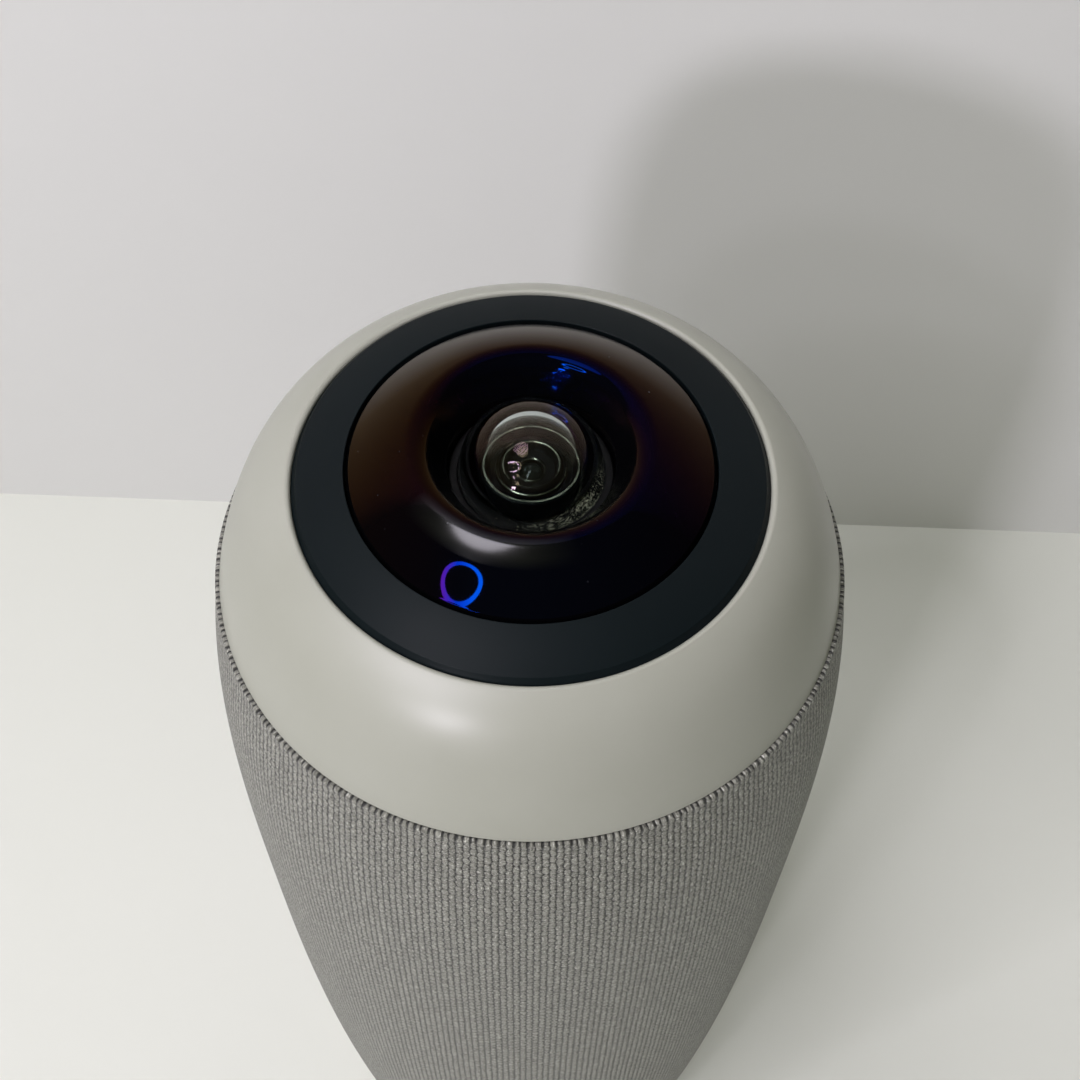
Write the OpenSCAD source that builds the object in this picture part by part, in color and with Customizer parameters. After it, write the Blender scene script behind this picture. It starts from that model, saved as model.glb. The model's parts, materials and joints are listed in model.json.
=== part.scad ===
// Table-top conference camera. A fisheye lens looks straight up out of a round, fabric-covered
// body that holds microphones, three loudspeakers, the electronics and a base with four buttons.
// Millimetres, +Z up, origin at the middle of the table contact, front at -Y.

/* [Body] */
// Height from the table to the top of the lens glass
body_h = 273; // [270:0.5:278]
// Largest radius of the body
body_r = 55.5; // [54.5:0.5:57]
// Radius of the body at the table
base_r = 48.5; // [47.5:0.5:50]
// Height of the widest circle
widest_z = 146; // [141:1:151]
// Height of the visible plastic base
base_h = 22; // [21.5:0.5:24]
// Height from the fabric's seam to the bezel's outer edge
cap_h = 19.9; // [18:0.1:22]
// Height from the bezel's outer edge to the end of the shoulder's curve
crown_over = 2.5; // [2:0.1:3]
// Power of the shoulder's curve along the height
shoulder_power = 3.6; // [3.4:0.05:3.8]
// Power of the shoulder's curve along the radius
shoulder_round = 6; // [5.5:0.1:6.5]
// Power of the taper towards the table
taper_power = 2.2; // [1.8:0.1:2.6]

/* [Fabric and acoustic frame] */
// Thickness of the fabric with its lining
fabric_t = 1; // [0.8:0.1:1.2]
// How far the fold stands out of the body's curve
fold_out = 0.3; // [0.1:0.05:0.4]
// Wall of the acoustic frame behind the fabric
frame_t = 2.2; // [1.8:0.1:2.5]
// Number of window columns round the acoustic frame
window_columns = 16; // [12:2:20]
// Number of window rows
window_rows = 5; // [3:1:6]
// Width of the bars between windows
bar_w = 4; // [3:0.5:6]
// Height of the plain band at each end of the frame
band_h = 5; // [4:0.5:8]

/* [Top cap] */
// Wall of the cap
cap_t = 2.4; // [2:0.1:2.8]
// Rounding of the lip round the bezel
lip_r = 1; // [0.6:0.1:1.2]
// Depth of the spigot that enters the acoustic frame
spigot_h = 4.5; // [3.5:0.5:6]
// Wall of the spigot
spigot_t = 2; // [1.6:0.1:2.4]
// Inner radius of the shelf that carries bezel and shroud
shelf_in_r = 22; // [21:0.5:23]
// Thickness of the shelf
shelf_t = 2.5; // [2:0.1:3]
// Distance of the cap's screw bosses from the outside of the spigot
cap_boss_in = 6.9; // [6.6:0.1:7.6]
// Radius of the cap's screw bosses
cap_boss_r = 3.2; // [2.8:0.1:3.4]

/* [Bezel and shroud] */
// Outer radius of the bezel ring
bezel_r = 36; // [35:0.25:37]
// Inner radius of the bezel ring
bezel_in_r = 27.9; // [27.6:0.1:28.4]
// Rise of the bezel from its outer to its inner edge
bezel_rise = 3.14; // [2.8:0.02:3.4]
// Thickness of the bezel's sloping wall
bezel_t = 1.4; // [1.2:0.1:1.5]
// Height of the bezel's outer skirt
skirt_h = 2; // [1.8:0.1:2.4]
// Width of the bezel's outer skirt
skirt_t = 1.4; // [1.2:0.1:1.6]
// Radius of the glossy shroud at the bezel
shroud_r = 27.2; // [26.8:0.1:27.3]
// Radius of the shroud's crest
crest_r = 17.4; // [17:0.1:18]
// Rounding of the shroud's crest
crest_round = 0.9; // [0.7:0.05:1.1]
// Height of the crest above the bezel's outer edge
crest_rise = 8.2; // [7.8:0.1:8.6]
// Slope of the shroud beside the bezel, degrees
shroud_foot_slope = 40; // [36:1:44]
// Slope of the shroud beside its crest, degrees
shroud_crest_slope = 18; // [14:1:22]
// Slope of the funnel between crest and lens, degrees
funnel_slope = 57; // [55:0.5:59]
// Wall of the shroud
shroud_t = 1.5; // [1.3:0.1:1.6]
// Outer radius of the shroud's flange under the bezel
flange_r = 32.8; // [31.5:0.1:33]
// Thickness of the shroud's flange
flange_t = 0.9; // [0.7:0.1:1]
// Thickness of the gasket under the flange
gasket_t = 0.6; // [0.5:0.1:0.7]

/* [Lens] */
// Radius of the front glass
lens_r = 11; // [10.6:0.1:11.3]
// Height of the front glass above the bezel's outer edge
lens_rise = 11.8; // [11.4:0.1:12.4]
// Drop from the middle of the front glass to its seat
lens_seat_drop = 1.6; // [1.4:0.1:1.8]
// Width of the flange round the front glass
lens_flange_w = 0.6; // [0.5:0.1:0.8]
// Thickness of the flange round the front glass
lens_flange_t = 0.6; // [0.5:0.1:0.7]
// Thickness of the front glass at its top
lens_glass_t = 2.6; // [2.2:0.1:3]
// Radius of the hollow under the front glass
lens_hollow_r = 8.2; // [7.9:0.1:8.3]
// Wall of the retainer ring round the front glass
retainer_t = 0.7; // [0.6:0.1:0.9]
// Height of the retainer ring's lip
retainer_lip_h = 0.8; // [0.6:0.1:0.9]
// Radii of the steps inside the barrel, from the front glass inwards
barrel_step_r = [8.4, 7.4, 6.5, 5];
// Depth of each step inside the barrel
barrel_step_h = 1.4; // [1.3:0.05:1.5]
// Depth of the seat of the second lens and the aperture ring
second_seat_h = 3.6; // [3.2:0.1:3.8]
// Thickness of the second lens at its edge
second_lens_t = 1.8; // [1.5:0.1:2]
// Radius of the second lens's curved face
second_lens_curve = 14; // [10:0.5:20]
// Radius of the barrel's threaded tail
tail_r = 8; // [7.6:0.1:8.4]
// Length of the barrel's threaded tail
tail_l = 7.5; // [7:0.5:8.5]
// Height of the barrel's wide front
bell_h = 6.4; // [6:0.1:7]
// Thickness of the aperture ring
aperture_t = 0.6; // [0.5:0.1:0.8]
// Radius of the opening in the aperture ring
aperture_r = 2.4; // [2:0.1:2.8]
// Radius of the rear lens
rear_lens_r = 3.6; // [3.2:0.1:4]
// Thickness of the rear lens
rear_lens_t = 3; // [2.5:0.1:3.2]

/* [Camera module] */
// Side of the lens mount's foot
mount_w = 24; // [22:0.5:26]
// Height of the lens mount's foot
mount_h = 5; // [4.5:0.1:5.5]
// Wall of the lens mount's tube
mount_t = 2; // [1.6:0.1:2.2]
// Side of the sensor board
sensor_board_w = 30; // [28:0.5:32]
// Thickness of every circuit board
board_t = 1.6; // [1.2:0.1:1.8]
// Width, depth and height of the image sensor
sensor_size = [12, 10, 1.3];
// Thickness of the camera bracket
bracket_t = 1.5; // [1.2:0.1:1.8]
// Distance of the bracket's screws from the axis
bracket_at = 25.5; // [25:0.1:26]
// Radius of the bracket's ends and of the bosses it is screwed to
bracket_end_r = 3; // [2.6:0.1:3.2]
// Width of the flat cable from the sensor board
flex_w = 12; // [8:0.5:14]
// Thickness of the flat cable
flex_t = 0.3; // [0.25:0.05:0.4]
// Width, height and depth of the flat cable's plugs
plug_size = [14, 4, 1.2];

/* [Microphones and status light] */
// Inner radius of the microphone board
mic_board_in_r = 20; // [18:0.5:22]
// Height of the microphone board over the deck it stands on
mic_stand = 2.5; // [2:0.1:3]
// Number of microphones
mic_count = 8; // [4:1:8]
// Distance of the microphones inwards from the cap's screw bosses
mic_in = 8.5; // [6.5:0.5:11.5]
// Width, depth and height of a microphone
mic_size = [4, 3, 1.1];
// Height of the light ring
light_h = 6.5; // [6:0.1:7]
// Wall of the light ring
light_t = 1.8; // [1.5:0.1:2]
// Number of light-emitting diodes between two cap bosses
leds_per_side = 5; // [3:1:6]
// Width, depth and height of a diode
led_size = [1.6, 1.6, 0.8];

/* [Core frame and boards] */
// Thickness of the core frame's two decks
deck_t = 3; // [2.6:0.1:3.4]
// Thickness of the core frame's upright web
web_t = 3; // [2.6:0.1:3.4]
// Width of the core frame's upright web
web_w = 74; // [72:0.5:76]
// Radius of the cable opening in the top deck
cable_hole_r = 15; // [14:0.5:16]
// Width and height of the main board
main_size = [66, 72];
// Width and height of the amplifier board
amp_size = [60, 50];
// Room between the main board's ends and the core frame's decks
board_room = 9.15; // [6:0.05:12]
// Height of the standoffs under each board
standoff_h = 5; // [4:0.5:6]
// Radius of the standoffs
standoff_r = 3; // [2.6:0.1:3.4]
// Distance of the standoffs from the board's edges
standoff_in = 4; // [3.6:0.1:4.5]
// Width, height and thickness of the processor
chip_size = [24, 24, 1.8];
// Width of the heat sink
sink_w = 52; // [44:1:56]
// Distance of the heat sink's upper end from the main board's
sink_in = 8; // [4:0.5:10]
// Thickness of the heat sink's base
sink_base = 3; // [2.5:0.1:3.5]
// Length of the heat sink's fins
fin_l = 13; // [10:0.5:15]
// Thickness of a fin
fin_t = 1.4; // [1.2:0.1:1.6]
// Number of fins
fin_count = 9; // [7:1:11]
// Width, height and depth of the shield can
can_size = [34, 9, 3];
// Distance of the shield can from the board's lower edge
can_in = 2; // [1:0.5:3]
// Gap between the shield can and the heat sink above it
can_gap = 3; // [1:0.5:5]
// Radius of the amplifier's capacitors
capacitor_r = 4; // [3:0.5:5]
// Length of the amplifier's capacitors
capacitor_l = 12; // [10:0.5:14]
// Number of capacitors
capacitor_count = 4; // [2:1:4]

/* [Loudspeakers] */
// Gap between the speaker box and the acoustic frame
box_gap = 2.3; // [1.4:0.1:2.8]
// Wall of the speaker box
box_t = 2.4; // [2:0.1:2.8]
// Depth of the box's flat faces under its round wall
flat_depth = 8; // [7.5:0.25:8.5]
// Distance of the speaker box's screws from the axis
box_screw_at = 28; // [27:0.5:29]
// Height of the speakers' centres above the middle of the box
speaker_up = 10; // [4:1:16]
// Radius of a speaker's flange
speaker_r = 22.5; // [22:0.25:23]
// Radius of the opening in a speaker's flange
basket_r = 18.6; // [18.3:0.1:18.8]
// Depth of a speaker's basket
basket_d = 11; // [10:0.5:12]
// Thickness of the basket's sheet
basket_t = 1.2; // [1:0.1:1.4]
// Radius of the basket at its foot
basket_foot_r = 13.2; // [13:0.1:13.5]
// Radius of the voice coil's inside
coil_r = 6.5; // [6.3:0.1:6.7]
// Thickness of the voice coil
coil_t = 0.6; // [0.5:0.05:0.7]
// Clearance of the voice coil in its gap
coil_gap = 0.5; // [0.4:0.05:0.6]
// Radius of the cone's rim
cone_r = 15; // [14.8:0.1:15.1]
// Height of the cone from the coil to the rim
cone_h = 6.5; // [6:0.1:7]
// Thickness of the cone
cone_t = 0.7; // [0.6:0.05:0.9]
// Travel of the cone each way
cone_travel = 1; // [0.6:0.1:1.2]
// Radius of the surround's roll
roll_r = 1.6; // [1.4:0.05:1.65]
// Thickness of the surround's rubber
roll_t = 0.5; // [0.4:0.05:0.6]
// Radius of the magnet
magnet_r = 13; // [12.5:0.1:13.2]
// Thickness of the magnet
magnet_t = 6; // [5.5:0.5:7]
// Thickness of the magnet's steel plates
yoke_t = 2.5; // [2:0.1:3]
// Thickness of the spider that centres the voice coil
spider_t = 0.5; // [0.3:0.1:0.6]
// Height of the dust cap in the middle of the cone
dust_cap_h = 2; // [1.5:0.1:2.5]
// Share of the dust cap's height that it has half-way out
dust_cap_share = 0.8; // [0.7:0.05:0.85]

/* [Base] */
// Wall of the base housing
base_t = 2.5; // [2.2:0.1:2.8]
// Thickness of the base housing's deck
base_deck_t = 2.5; // [2.2:0.1:2.8]
// Thickness of the bottom plate
plate_t = 4; // [3.8:0.1:4.2]
// Thickness of the rubber foot
foot_t = 2; // [1.8:0.1:2.4]
// Depth of the groove that holds the foot
foot_sunk = 1; // [0.8:0.1:1.2]
// Outer radius of the foot
foot_r = 43.3; // [42.8:0.1:43.8]
// Inner radius of the foot
foot_in_r = 20; // [16:0.5:24]
// Major radius of the quarter-inch tripod thread
thread_r = 3.175; // [3.1:0.025:3.3]
// Length of the tripod thread
thread_l = 9; // [8:0.5:10]
// Radius of the tripod insert
insert_r = 6; // [5.5:0.1:6.5]
// Place of the four base screws, sideways and fore-and-aft
base_screw_at = [37.5, 14];
// Radius of the cable pass in the base's deck
cable_pass_r = 3; // [2:0.1:3.2]
// Distance of the cable pass from the axis
cable_pass_at = 42; // [41:0.5:42.5]

/* [Buttons] */
// Distance between button centres
button_pitch = 12; // [11.5:0.1:12.2]
// Height of the buttons' centres above the bottom plate
button_up = 7.3; // [7:0.1:7.5]
// Radius of a button's cap
button_r = 4.2; // [4:0.1:4.3]
// Clearance round a button's cap
button_gap = 0.2; // [0.15:0.05:0.3]
// How far a button stands out of the base
button_proud = 0.4; // [0.2:0.1:0.6]
// Travel of a button
button_travel = 0.5; // [0.3:0.05:0.6]
// Width of the collar that keeps a button in
collar_w = 0.7; // [0.5:0.1:0.8]
// Distance of the flat behind the buttons from the axis
pad_at = 40.5; // [40.25:0.25:41]
// Side of a switch
switch_w = 6; // [5.5:0.1:6.5]
// Depth of a switch
switch_d = 3.2; // [3:0.1:3.5]
// Radius of a switch's plunger
plunger_r = 1.6; // [1.4:0.1:1.8]
// How far a plunger stands out of its switch
plunger_out = 0.9; // [0.8:0.1:1]
// Thickness of the collar that keeps a button in
collar_t = 1; // [0.8:0.1:1.2]
// Length of a button's post from collar to plunger
post_l = 2.5; // [2:0.1:3]
// Depth of a plunger's foot in its switch
plunger_in = 1; // [0.8:0.1:1.2]
// Height of the button board
button_board_h = 12; // [11:0.5:12.5]
// Width of the button board beside its outermost switches
button_board_side = 5; // [4:0.5:6]
// Grip of the rails round the button board
rail_grip = 1; // [0.8:0.1:1.2]
// Width of the rails beside the button board
rail_t = 2.2; // [1.8:0.1:2.6]

/* [Ports] */
// Width of the port recess
port_w = 40; // [38:0.5:42]
// Height of the port recess
port_h = 11.5; // [11:0.1:12]
// Distance of the recess's back wall from the axis
port_at = 36; // [35:0.25:37]
// Wall beside and below the recess
port_t = 1.4; // [1.2:0.1:1.4]
// Thickness of the recess's back wall
port_wall_t = 2; // [1.6:0.1:2.4]
// Distance between the two sockets
socket_pitch = 18; // [17:0.5:20]
// Length of the sockets behind the wall
socket_l = 12; // [10:0.5:13]
// How far the sockets stand out of the wall
socket_proud = 1; // [0.6:0.1:1.4]
// Radius of the power socket's hole
jack_r = 3.15; // [2.75:0.05:3.3]
// Radius of the power socket's pin
jack_pin_r = 1; // [0.8:0.05:1.05]
// Side of the power socket's body
jack_w = 9.5; // [9:0.1:10]
// Depth of the power socket's hole
jack_depth = 9; // [8:0.5:10]
// Length of the power socket's pin
jack_pin_l = 8; // [7:0.5:8.5]
// Width and height of the data socket's shell
data_size = [8.94, 3.2];
// Wall of the data socket's shell
data_wall_t = 0.3; // [0.25:0.05:0.35]
// Width and height of the data socket's tongue
data_tongue = [6.7, 0.7];
// Distance of the tongue's end from the shell's edge
data_tongue_short = 1; // [0.6:0.1:1.2]

/* [Screws] */
// Radius of a large screw's head
screw_head_r = 2.4; // [2.2:0.1:2.6]
// Radius of a large screw's shank
screw_r = 1.25; // [1.1:0.05:1.3]
// Height of a large screw's head
screw_head_h = 1.5; // [1.3:0.1:1.6]
// Length of a large screw's shank
screw_l = 8; // [7:0.5:9]
// Radius of a small screw's head
small_head_r = 1.4; // [1.3:0.05:1.45]
// Radius of a small screw's shank
small_r = 0.8; // [0.7:0.05:0.9]
// Height of a small screw's head
small_head_h = 0.9; // [0.8:0.1:1.1]
// Length of a small screw's shank
small_l = 4.5; // [4:0.5:5]
// Share of the screw heads' width that the cross recess takes
cross_share = 0.6; // [0.5:0.05:0.7]

/* [Hidden] */
$fn = 96;

// Overrun of a cut past the face that it opens
cut = 1;
// Gap between pieces that lie side by side
clear = 0.3;
// Gap between pieces that fit into each other
snug = 0.1;
// Steps along a long curved wall, a short one and a small arc
long_steps = 22;
short_steps = 16;
arc_steps = 8;
// How closely the wall's steps crowd towards its top
step_power = 1.4;

// Heights of the top assembly, from the top of the glass downwards
ring_z = body_h - lens_rise;
seam_z = ring_z - cap_h;
fold_r = (fabric_t + fold_out) / 2;
crown_z = ring_z + crown_over;
ball_z = body_h - lens_r;
lens_seat_z = ball_z - lens_seat_drop;
bell_z = lens_seat_z - bell_h;
tail_z = bell_z - tail_l;
second_seat_z = lens_seat_z - (len(barrel_step_r) - 1) * barrel_step_h - second_seat_h;
sensor_top_z = tail_z - 2 * clear;
sensor_board_z = sensor_top_z - sensor_size.z - board_t;
mount_top_z = sensor_board_z + board_t + mount_h;
bracket_top_z = mount_top_z + bracket_t;
shelf_z = ring_z - skirt_h;
spigot_z = seam_z + snug - spigot_h;
deck_top_z = spigot_z - snug - light_h;
mic_board_z = deck_top_z + mic_stand;

// Heights of the base, from the table upwards
plate_z = foot_t - foot_sunk;
plate_top_z = plate_z + plate_t;
base_deck_z = base_h - base_deck_t;
web_top_z = deck_top_z - deck_t;
core_z = web_top_z - main_size.y - 2 * board_room;
web_mid_z = (core_z + web_top_z) / 2;
box_top_z = core_z - deck_t;
speaker_z = (base_h + box_top_z) / 2 + speaker_up;
button_z = plate_top_z + button_up;
port_z = plate_top_z + port_t;
port_mid_z = port_z + port_h / 2;

// Radius of the body's outer curve at a height, and the same curve drawn in by an inset
function body_at(z, inset = 0) =
    z > widest_z
        ? (body_r - inset) * pow(1 - pow((z - widest_z) / (crown_z - inset - widest_z),
                                         shoulder_power), 1 / shoulder_round)
        : body_r - inset - (body_r - base_r) * pow((widest_z - z) / widest_z, taper_power);
// Height at which the upper curve has a given radius
function height_at(r) =
    widest_z + (crown_z - widest_z) * pow(1 - pow(r / body_r, shoulder_round), 1 / shoulder_power);
function between(a, b, steps) = [for (i = [0:steps]) a + (b - a) * i / steps];
function backwards(list) = [for (i = [len(list) - 1:-1:0]) list[i]];

// Radii that several pieces share
frame_in = fabric_t + snug + frame_t;
cap_hole_r = bezel_r + clear;
spigot_r = body_at(seam_z) - frame_in - clear;
cap_boss_at = spigot_r - cap_boss_in;
mic_at = cap_boss_at - mic_in;
box_r = min(body_at(base_h), body_at(box_top_z)) - frame_in - box_gap;
flat_at = box_r - flat_depth;
deck_r = body_at(deck_top_z) - frame_in - clear;
mic_board_r = spigot_r - light_t - clear;
retainer_r = lens_r + lens_flange_w + snug + retainer_t;
throat_r = retainer_r + clear;
mount_r = tail_r + snug + mount_t;
mount_screw_at = mount_w / 2 - screw_head_r;
mic_post_at = mic_board_in_r + standoff_r + cut;
plate_r = body_at(plate_z) - base_t - clear;
screw_boss_r = screw_head_r + cut;

// Directions of the three speakers, and of the three box corners between them
speaker_turns = [-90, 30, 150];
corner_turns = [90, 210, 330];

// Faces of the boards that stand on the core frame, on the +Y and the -Y side
main_y = web_t / 2 + standoff_h;
main_face_y = main_y + board_t;
can_z = web_mid_z - main_size.y / 2 + can_in;
sink_z0 = can_z + can_size.y + can_gap;
sink_z1 = web_mid_z + main_size.y / 2 - sink_in;
sink_z = (sink_z0 + sink_z1) / 2;
sink_y = main_face_y + chip_size.z;

// Button parts along Y, from the front inwards
collar_y = -pad_at + snug;
post_y = collar_y + collar_t;
plunger_y = post_y + post_l;
switch_y = plunger_y + plunger_out;
button_board_y = switch_y + switch_d;
button_board_w = 3 * button_pitch + switch_w + 2 * button_board_side;
button_places = [for (i = [-1.5:1:1.5]) i * button_pitch];

// Port parts along Y
socket_y = port_at - port_wall_t - socket_l;
port_board_w = port_w - 2 * cut;

// Speaker parts along the speaker's own axis, which starts at the body's axis
flange_s = flat_at + basket_t;
basket_foot_s = flat_at - basket_d;
top_yoke_s = basket_foot_s - yoke_t;
magnet_s = top_yoke_s - magnet_t;
back_yoke_s = magnet_s - yoke_t;
pole_r = coil_r - coil_gap;
coil_out_r = coil_r + coil_t;
gap_out_r = coil_out_r + coil_gap;
cone_rim_s = flat_at + clear;
cone_foot_s = cone_rim_s - cone_h;
coil_end_s = top_yoke_s + coil_gap;
dust_cap_s = cone_foot_s + dust_cap_h;
dust_mid_s = cone_foot_s + dust_cap_h * dust_cap_share;
spider_s = basket_foot_s + 2 * basket_t;
roll_at = cone_r + clear + roll_r;
surround_lip_r = basket_r + roll_t + snug;
flange_turns = [45, 135, 225, 315];
flange_screw_at = speaker_r - small_head_r - clear;

// The lip round the bezel, a rounded edge that starts at an angle in degrees
lip_turn = 62;
lip_out_r = cap_hole_r + lip_r * (1 + cos(lip_turn));
lip_mid_z = height_at(lip_out_r) - lip_r * sin(lip_turn);
cap_in_z = seam_z + spigot_h;

// Heights at which every long wall has its steps, so that nested walls keep their distance
wall_knots = [for (u = between(0, 1, long_steps))
    seam_z - (seam_z - base_h) * (1 - u) ^ step_power];

// The shroud's convex shoulder as a cubic curve from its crest outwards
crest_z = ring_z + crest_rise;
shoulder_in = [crest_r + crest_round * sin(shroud_crest_slope),
               crest_z - crest_round * (1 - cos(shroud_crest_slope))];
shoulder_foot = [shroud_r, ring_z + bezel_rise];
function shoulder(t) = let (run = shroud_r - shoulder_in.x)
    [shoulder_in.x + run * t,
     (2 * t ^ 3 - 3 * t ^ 2 + 1) * shoulder_in.y + (3 * t ^ 2 - 2 * t ^ 3) * shoulder_foot.y
     - (t ^ 3 - 2 * t ^ 2 + t) * run * tan(shroud_crest_slope)
     - (t ^ 3 - t ^ 2) * run * tan(shroud_foot_slope)];
function shoulder_slope(t) = shroud_crest_slope + (shroud_foot_slope - shroud_crest_slope) * t;
function shoulder_under(t) = shoulder(t)
    - shroud_t * [sin(shoulder_slope(t)), cos(shoulder_slope(t))];

// Pieces of revolution
module ring(r_out, r_in, z0, z1) {
    translate([0, 0, z0]) difference() {
        cylinder(r = r_out, h = z1 - z0);
        translate([0, 0, -cut]) cylinder(r = r_in, h = z1 - z0 + 2 * cut);
    }
}

module disc(r, z0, z1) {
    translate([0, 0, z0]) cylinder(r = r, h = z1 - z0);
}

// A wall that follows the body's curve, its outer face set in by an inset
module curved_wall(z0, z1, inset, t) {
    heights = concat([z0], [for (z = wall_knots) if (z > z0 + cut && z < z1 - cut) z], [z1]);
    rotate_extrude() polygon(concat(
        [for (z = heights) [body_at(z) - inset, z]],
        [for (z = backwards(heights)) [body_at(z) - inset - t, z]]
    ));
}

// Everything inside the body's curve between two heights
module body_fill(z0, z1, inset = 0) {
    rotate_extrude() polygon(concat(
        [[0, z0]],
        [for (z = between(z0, z1, short_steps)) [body_at(z, inset), z]],
        [[0, z1]]
    ));
}

// A block centred on X, between two places along Y and two heights
module block(w, y0, y1, z0, z1) {
    translate([-w / 2, y0, z0]) cube([w, y1 - y0, z1 - z0]);
}

// A cylinder along +Y
module rod_y(r, y0, y1) {
    translate([0, y0, 0]) rotate([-90, 0, 0]) cylinder(r = r, h = y1 - y0);
}

module around(turns, at) {
    for (a = turns) rotate(a) translate([at, 0, 0]) children();
}

// Places children on the four corners of a rectangle
module corners(x, y) {
    for (sx = [-1, 1], sy = [-1, 1]) translate([sx * x, sy * y, 0]) children();
}

// Turns a piece made along +Z into a speaker's direction
module speaker_axis(turn) {
    translate([0, 0, speaker_z]) rotate(turn) rotate([0, 90, 0]) children();
}

// Top cap, bezel, shroud and gasket
module cap_outline() {
    outside = [for (r = between(body_at(seam_z + snug) - fold_out, lip_out_r, 2 * short_steps))
        [r, height_at(r + fold_out * (r - lip_out_r) / (body_at(seam_z) - lip_out_r))]];
    lip = [for (a = between(lip_turn, 180, arc_steps))
        [cap_hole_r + lip_r + lip_r * cos(a), lip_mid_z + lip_r * sin(a)]];
    inside = [for (z = between(shelf_z - shelf_t, cap_in_z, short_steps)) [body_at(z, cap_t), z]];
    polygon(concat(outside, lip, [[cap_hole_r, shelf_z - shelf_t]], inside,
                   [[spigot_r - spigot_t, cap_in_z], [spigot_r - spigot_t, seam_z + snug]]));
}

module cap_bosses(z0, r) {
    intersection() {
        around(corner_turns, cap_boss_at) disc(r, z0, shelf_z);
        body_fill(z0, shelf_z, cap_t / 2);
    }
}

module top_cap() {
    color("#b9bab2") difference() {
        union() {
            rotate_extrude() cap_outline();
            ring(spigot_r, spigot_r - spigot_t, spigot_z, seam_z + spigot_t);
            ring(cap_hole_r + cap_t, shelf_in_r, shelf_z - shelf_t, shelf_z);
            cap_bosses(deck_top_z, cap_boss_r);
            around(speaker_turns, bracket_at)
                disc(bracket_end_r, bracket_top_z, shelf_z - shelf_t + cut);
        }
        around(corner_turns, cap_boss_at) disc(screw_r, deck_top_z - cut, deck_top_z + screw_l);
        around(speaker_turns, bracket_at)
            disc(small_r, bracket_top_z - cut, bracket_top_z + small_l);
    }
}

module bezel_ring() {
    skirt_in = bezel_r - skirt_t;
    edge = lip_r / 2;
    color("#2b2c2e") rotate_extrude() polygon(concat(
        [[bezel_r, shelf_z]],
        [for (a = between(0, lip_turn, arc_steps))
            [bezel_r - edge + edge * cos(a), ring_z - edge + edge * sin(a)]],
        [[bezel_in_r, ring_z + bezel_rise], [bezel_in_r, ring_z + bezel_rise - bezel_t],
         [skirt_in, ring_z + bezel_rise * skirt_t / (bezel_r - bezel_in_r) - bezel_t],
         [skirt_in, shelf_z]]
    ));
}

module dome_shroud() {
    flange_z = shelf_z + gasket_t;
    funnel_in = [crest_r - crest_round * sin(funnel_slope),
                 crest_z - crest_round * (1 - cos(funnel_slope))];
    throat_z = funnel_in.y - (funnel_in.x - throat_r) * tan(funnel_slope);
    under_share = 0.12;
    under = shoulder_under(under_share);
    wall_out_r = throat_r + shroud_t;
    wall_z = under.y - (under.x - wall_out_r) * tan(funnel_slope);
    color("#08090b") rotate_extrude() polygon(concat(
        [[flange_r, flange_z], [flange_r, flange_z + flange_t], [shroud_r, flange_z + flange_t]],
        [for (t = between(1, 0, short_steps)) shoulder(t)],
        [for (a = between(shroud_crest_slope, -funnel_slope, arc_steps))
            [crest_r + crest_round * sin(a), crest_z - crest_round * (1 - cos(a))]],
        [[throat_r, throat_z], [throat_r, lens_seat_z - shroud_t],
         [wall_out_r, lens_seat_z - shroud_t], [wall_out_r, wall_z]],
        [for (t = between(under_share, 1, short_steps)) shoulder_under(t)],
        [[shroud_r - shroud_t, ring_z], [shroud_r - shroud_t, flange_z]]
    ));
}

module shroud_gasket() {
    color("#1b1b1b") ring(flange_r, shroud_r + cut, shelf_z, shelf_z + gasket_t);
}

// Optics
module lens_dome() {
    hollow_z = body_h - lens_glass_t - lens_hollow_r;
    color("#9fb4b0", 0.4) difference() {
        union() {
            intersection() {
                translate([0, 0, ball_z]) sphere(r = lens_r);
                disc(lens_r + cut, lens_seat_z, body_h + cut);
            }
            disc(lens_r + lens_flange_w, lens_seat_z, lens_seat_z + lens_flange_t);
        }
        translate([0, 0, hollow_z]) sphere(r = lens_hollow_r);
    }
}

module lens_retainer() {
    wall_top_z = lens_seat_z + lens_flange_t + snug;
    color("#17181a") union() {
        ring(retainer_r, retainer_r - retainer_t, lens_seat_z, wall_top_z + snug);
        ring(retainer_r, lens_r + snug, wall_top_z, wall_top_z + retainer_lip_h);
    }
}

module lens_barrel() {
    steps = len(barrel_step_r);
    bore = [for (i = [0:steps - 1], end = [0, 1])
        [barrel_step_r[i], lens_seat_z - barrel_step_h * (i + end)]];
    rear_bore_r = rear_lens_r + snug;
    rear_seat_z = tail_z + snug + clear;
    color("#1a1b1d") rotate_extrude() polygon(concat(
        [for (i = [0:2 * steps - 2]) bore[i]],
        [[barrel_step_r[steps - 1], second_seat_z], [rear_bore_r, second_seat_z],
         [rear_bore_r, rear_seat_z], [aperture_r, rear_seat_z], [aperture_r, tail_z],
         [tail_r, tail_z], [tail_r, bell_z], [retainer_r, bell_z], [retainer_r, lens_seat_z]]
    ));
}

// A disc of glass whose upper face bulges to a given radius of curvature
module bulged_lens(r, t, curve, z0) {
    rise = curve - sqrt(curve ^ 2 - r ^ 2);
    intersection() {
        disc(r, z0, z0 + t + rise);
        translate([0, 0, z0 + t + rise - curve]) sphere(r = curve);
    }
}

module second_lens() {
    color("#24403c", 0.5) bulged_lens(barrel_step_r[len(barrel_step_r) - 1] - snug,
        second_lens_t, second_lens_curve, second_seat_z + aperture_t);
}

module aperture_ring() {
    color("#101012") ring(barrel_step_r[len(barrel_step_r) - 1] - snug, aperture_r,
                          second_seat_z, second_seat_z + aperture_t);
}

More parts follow.
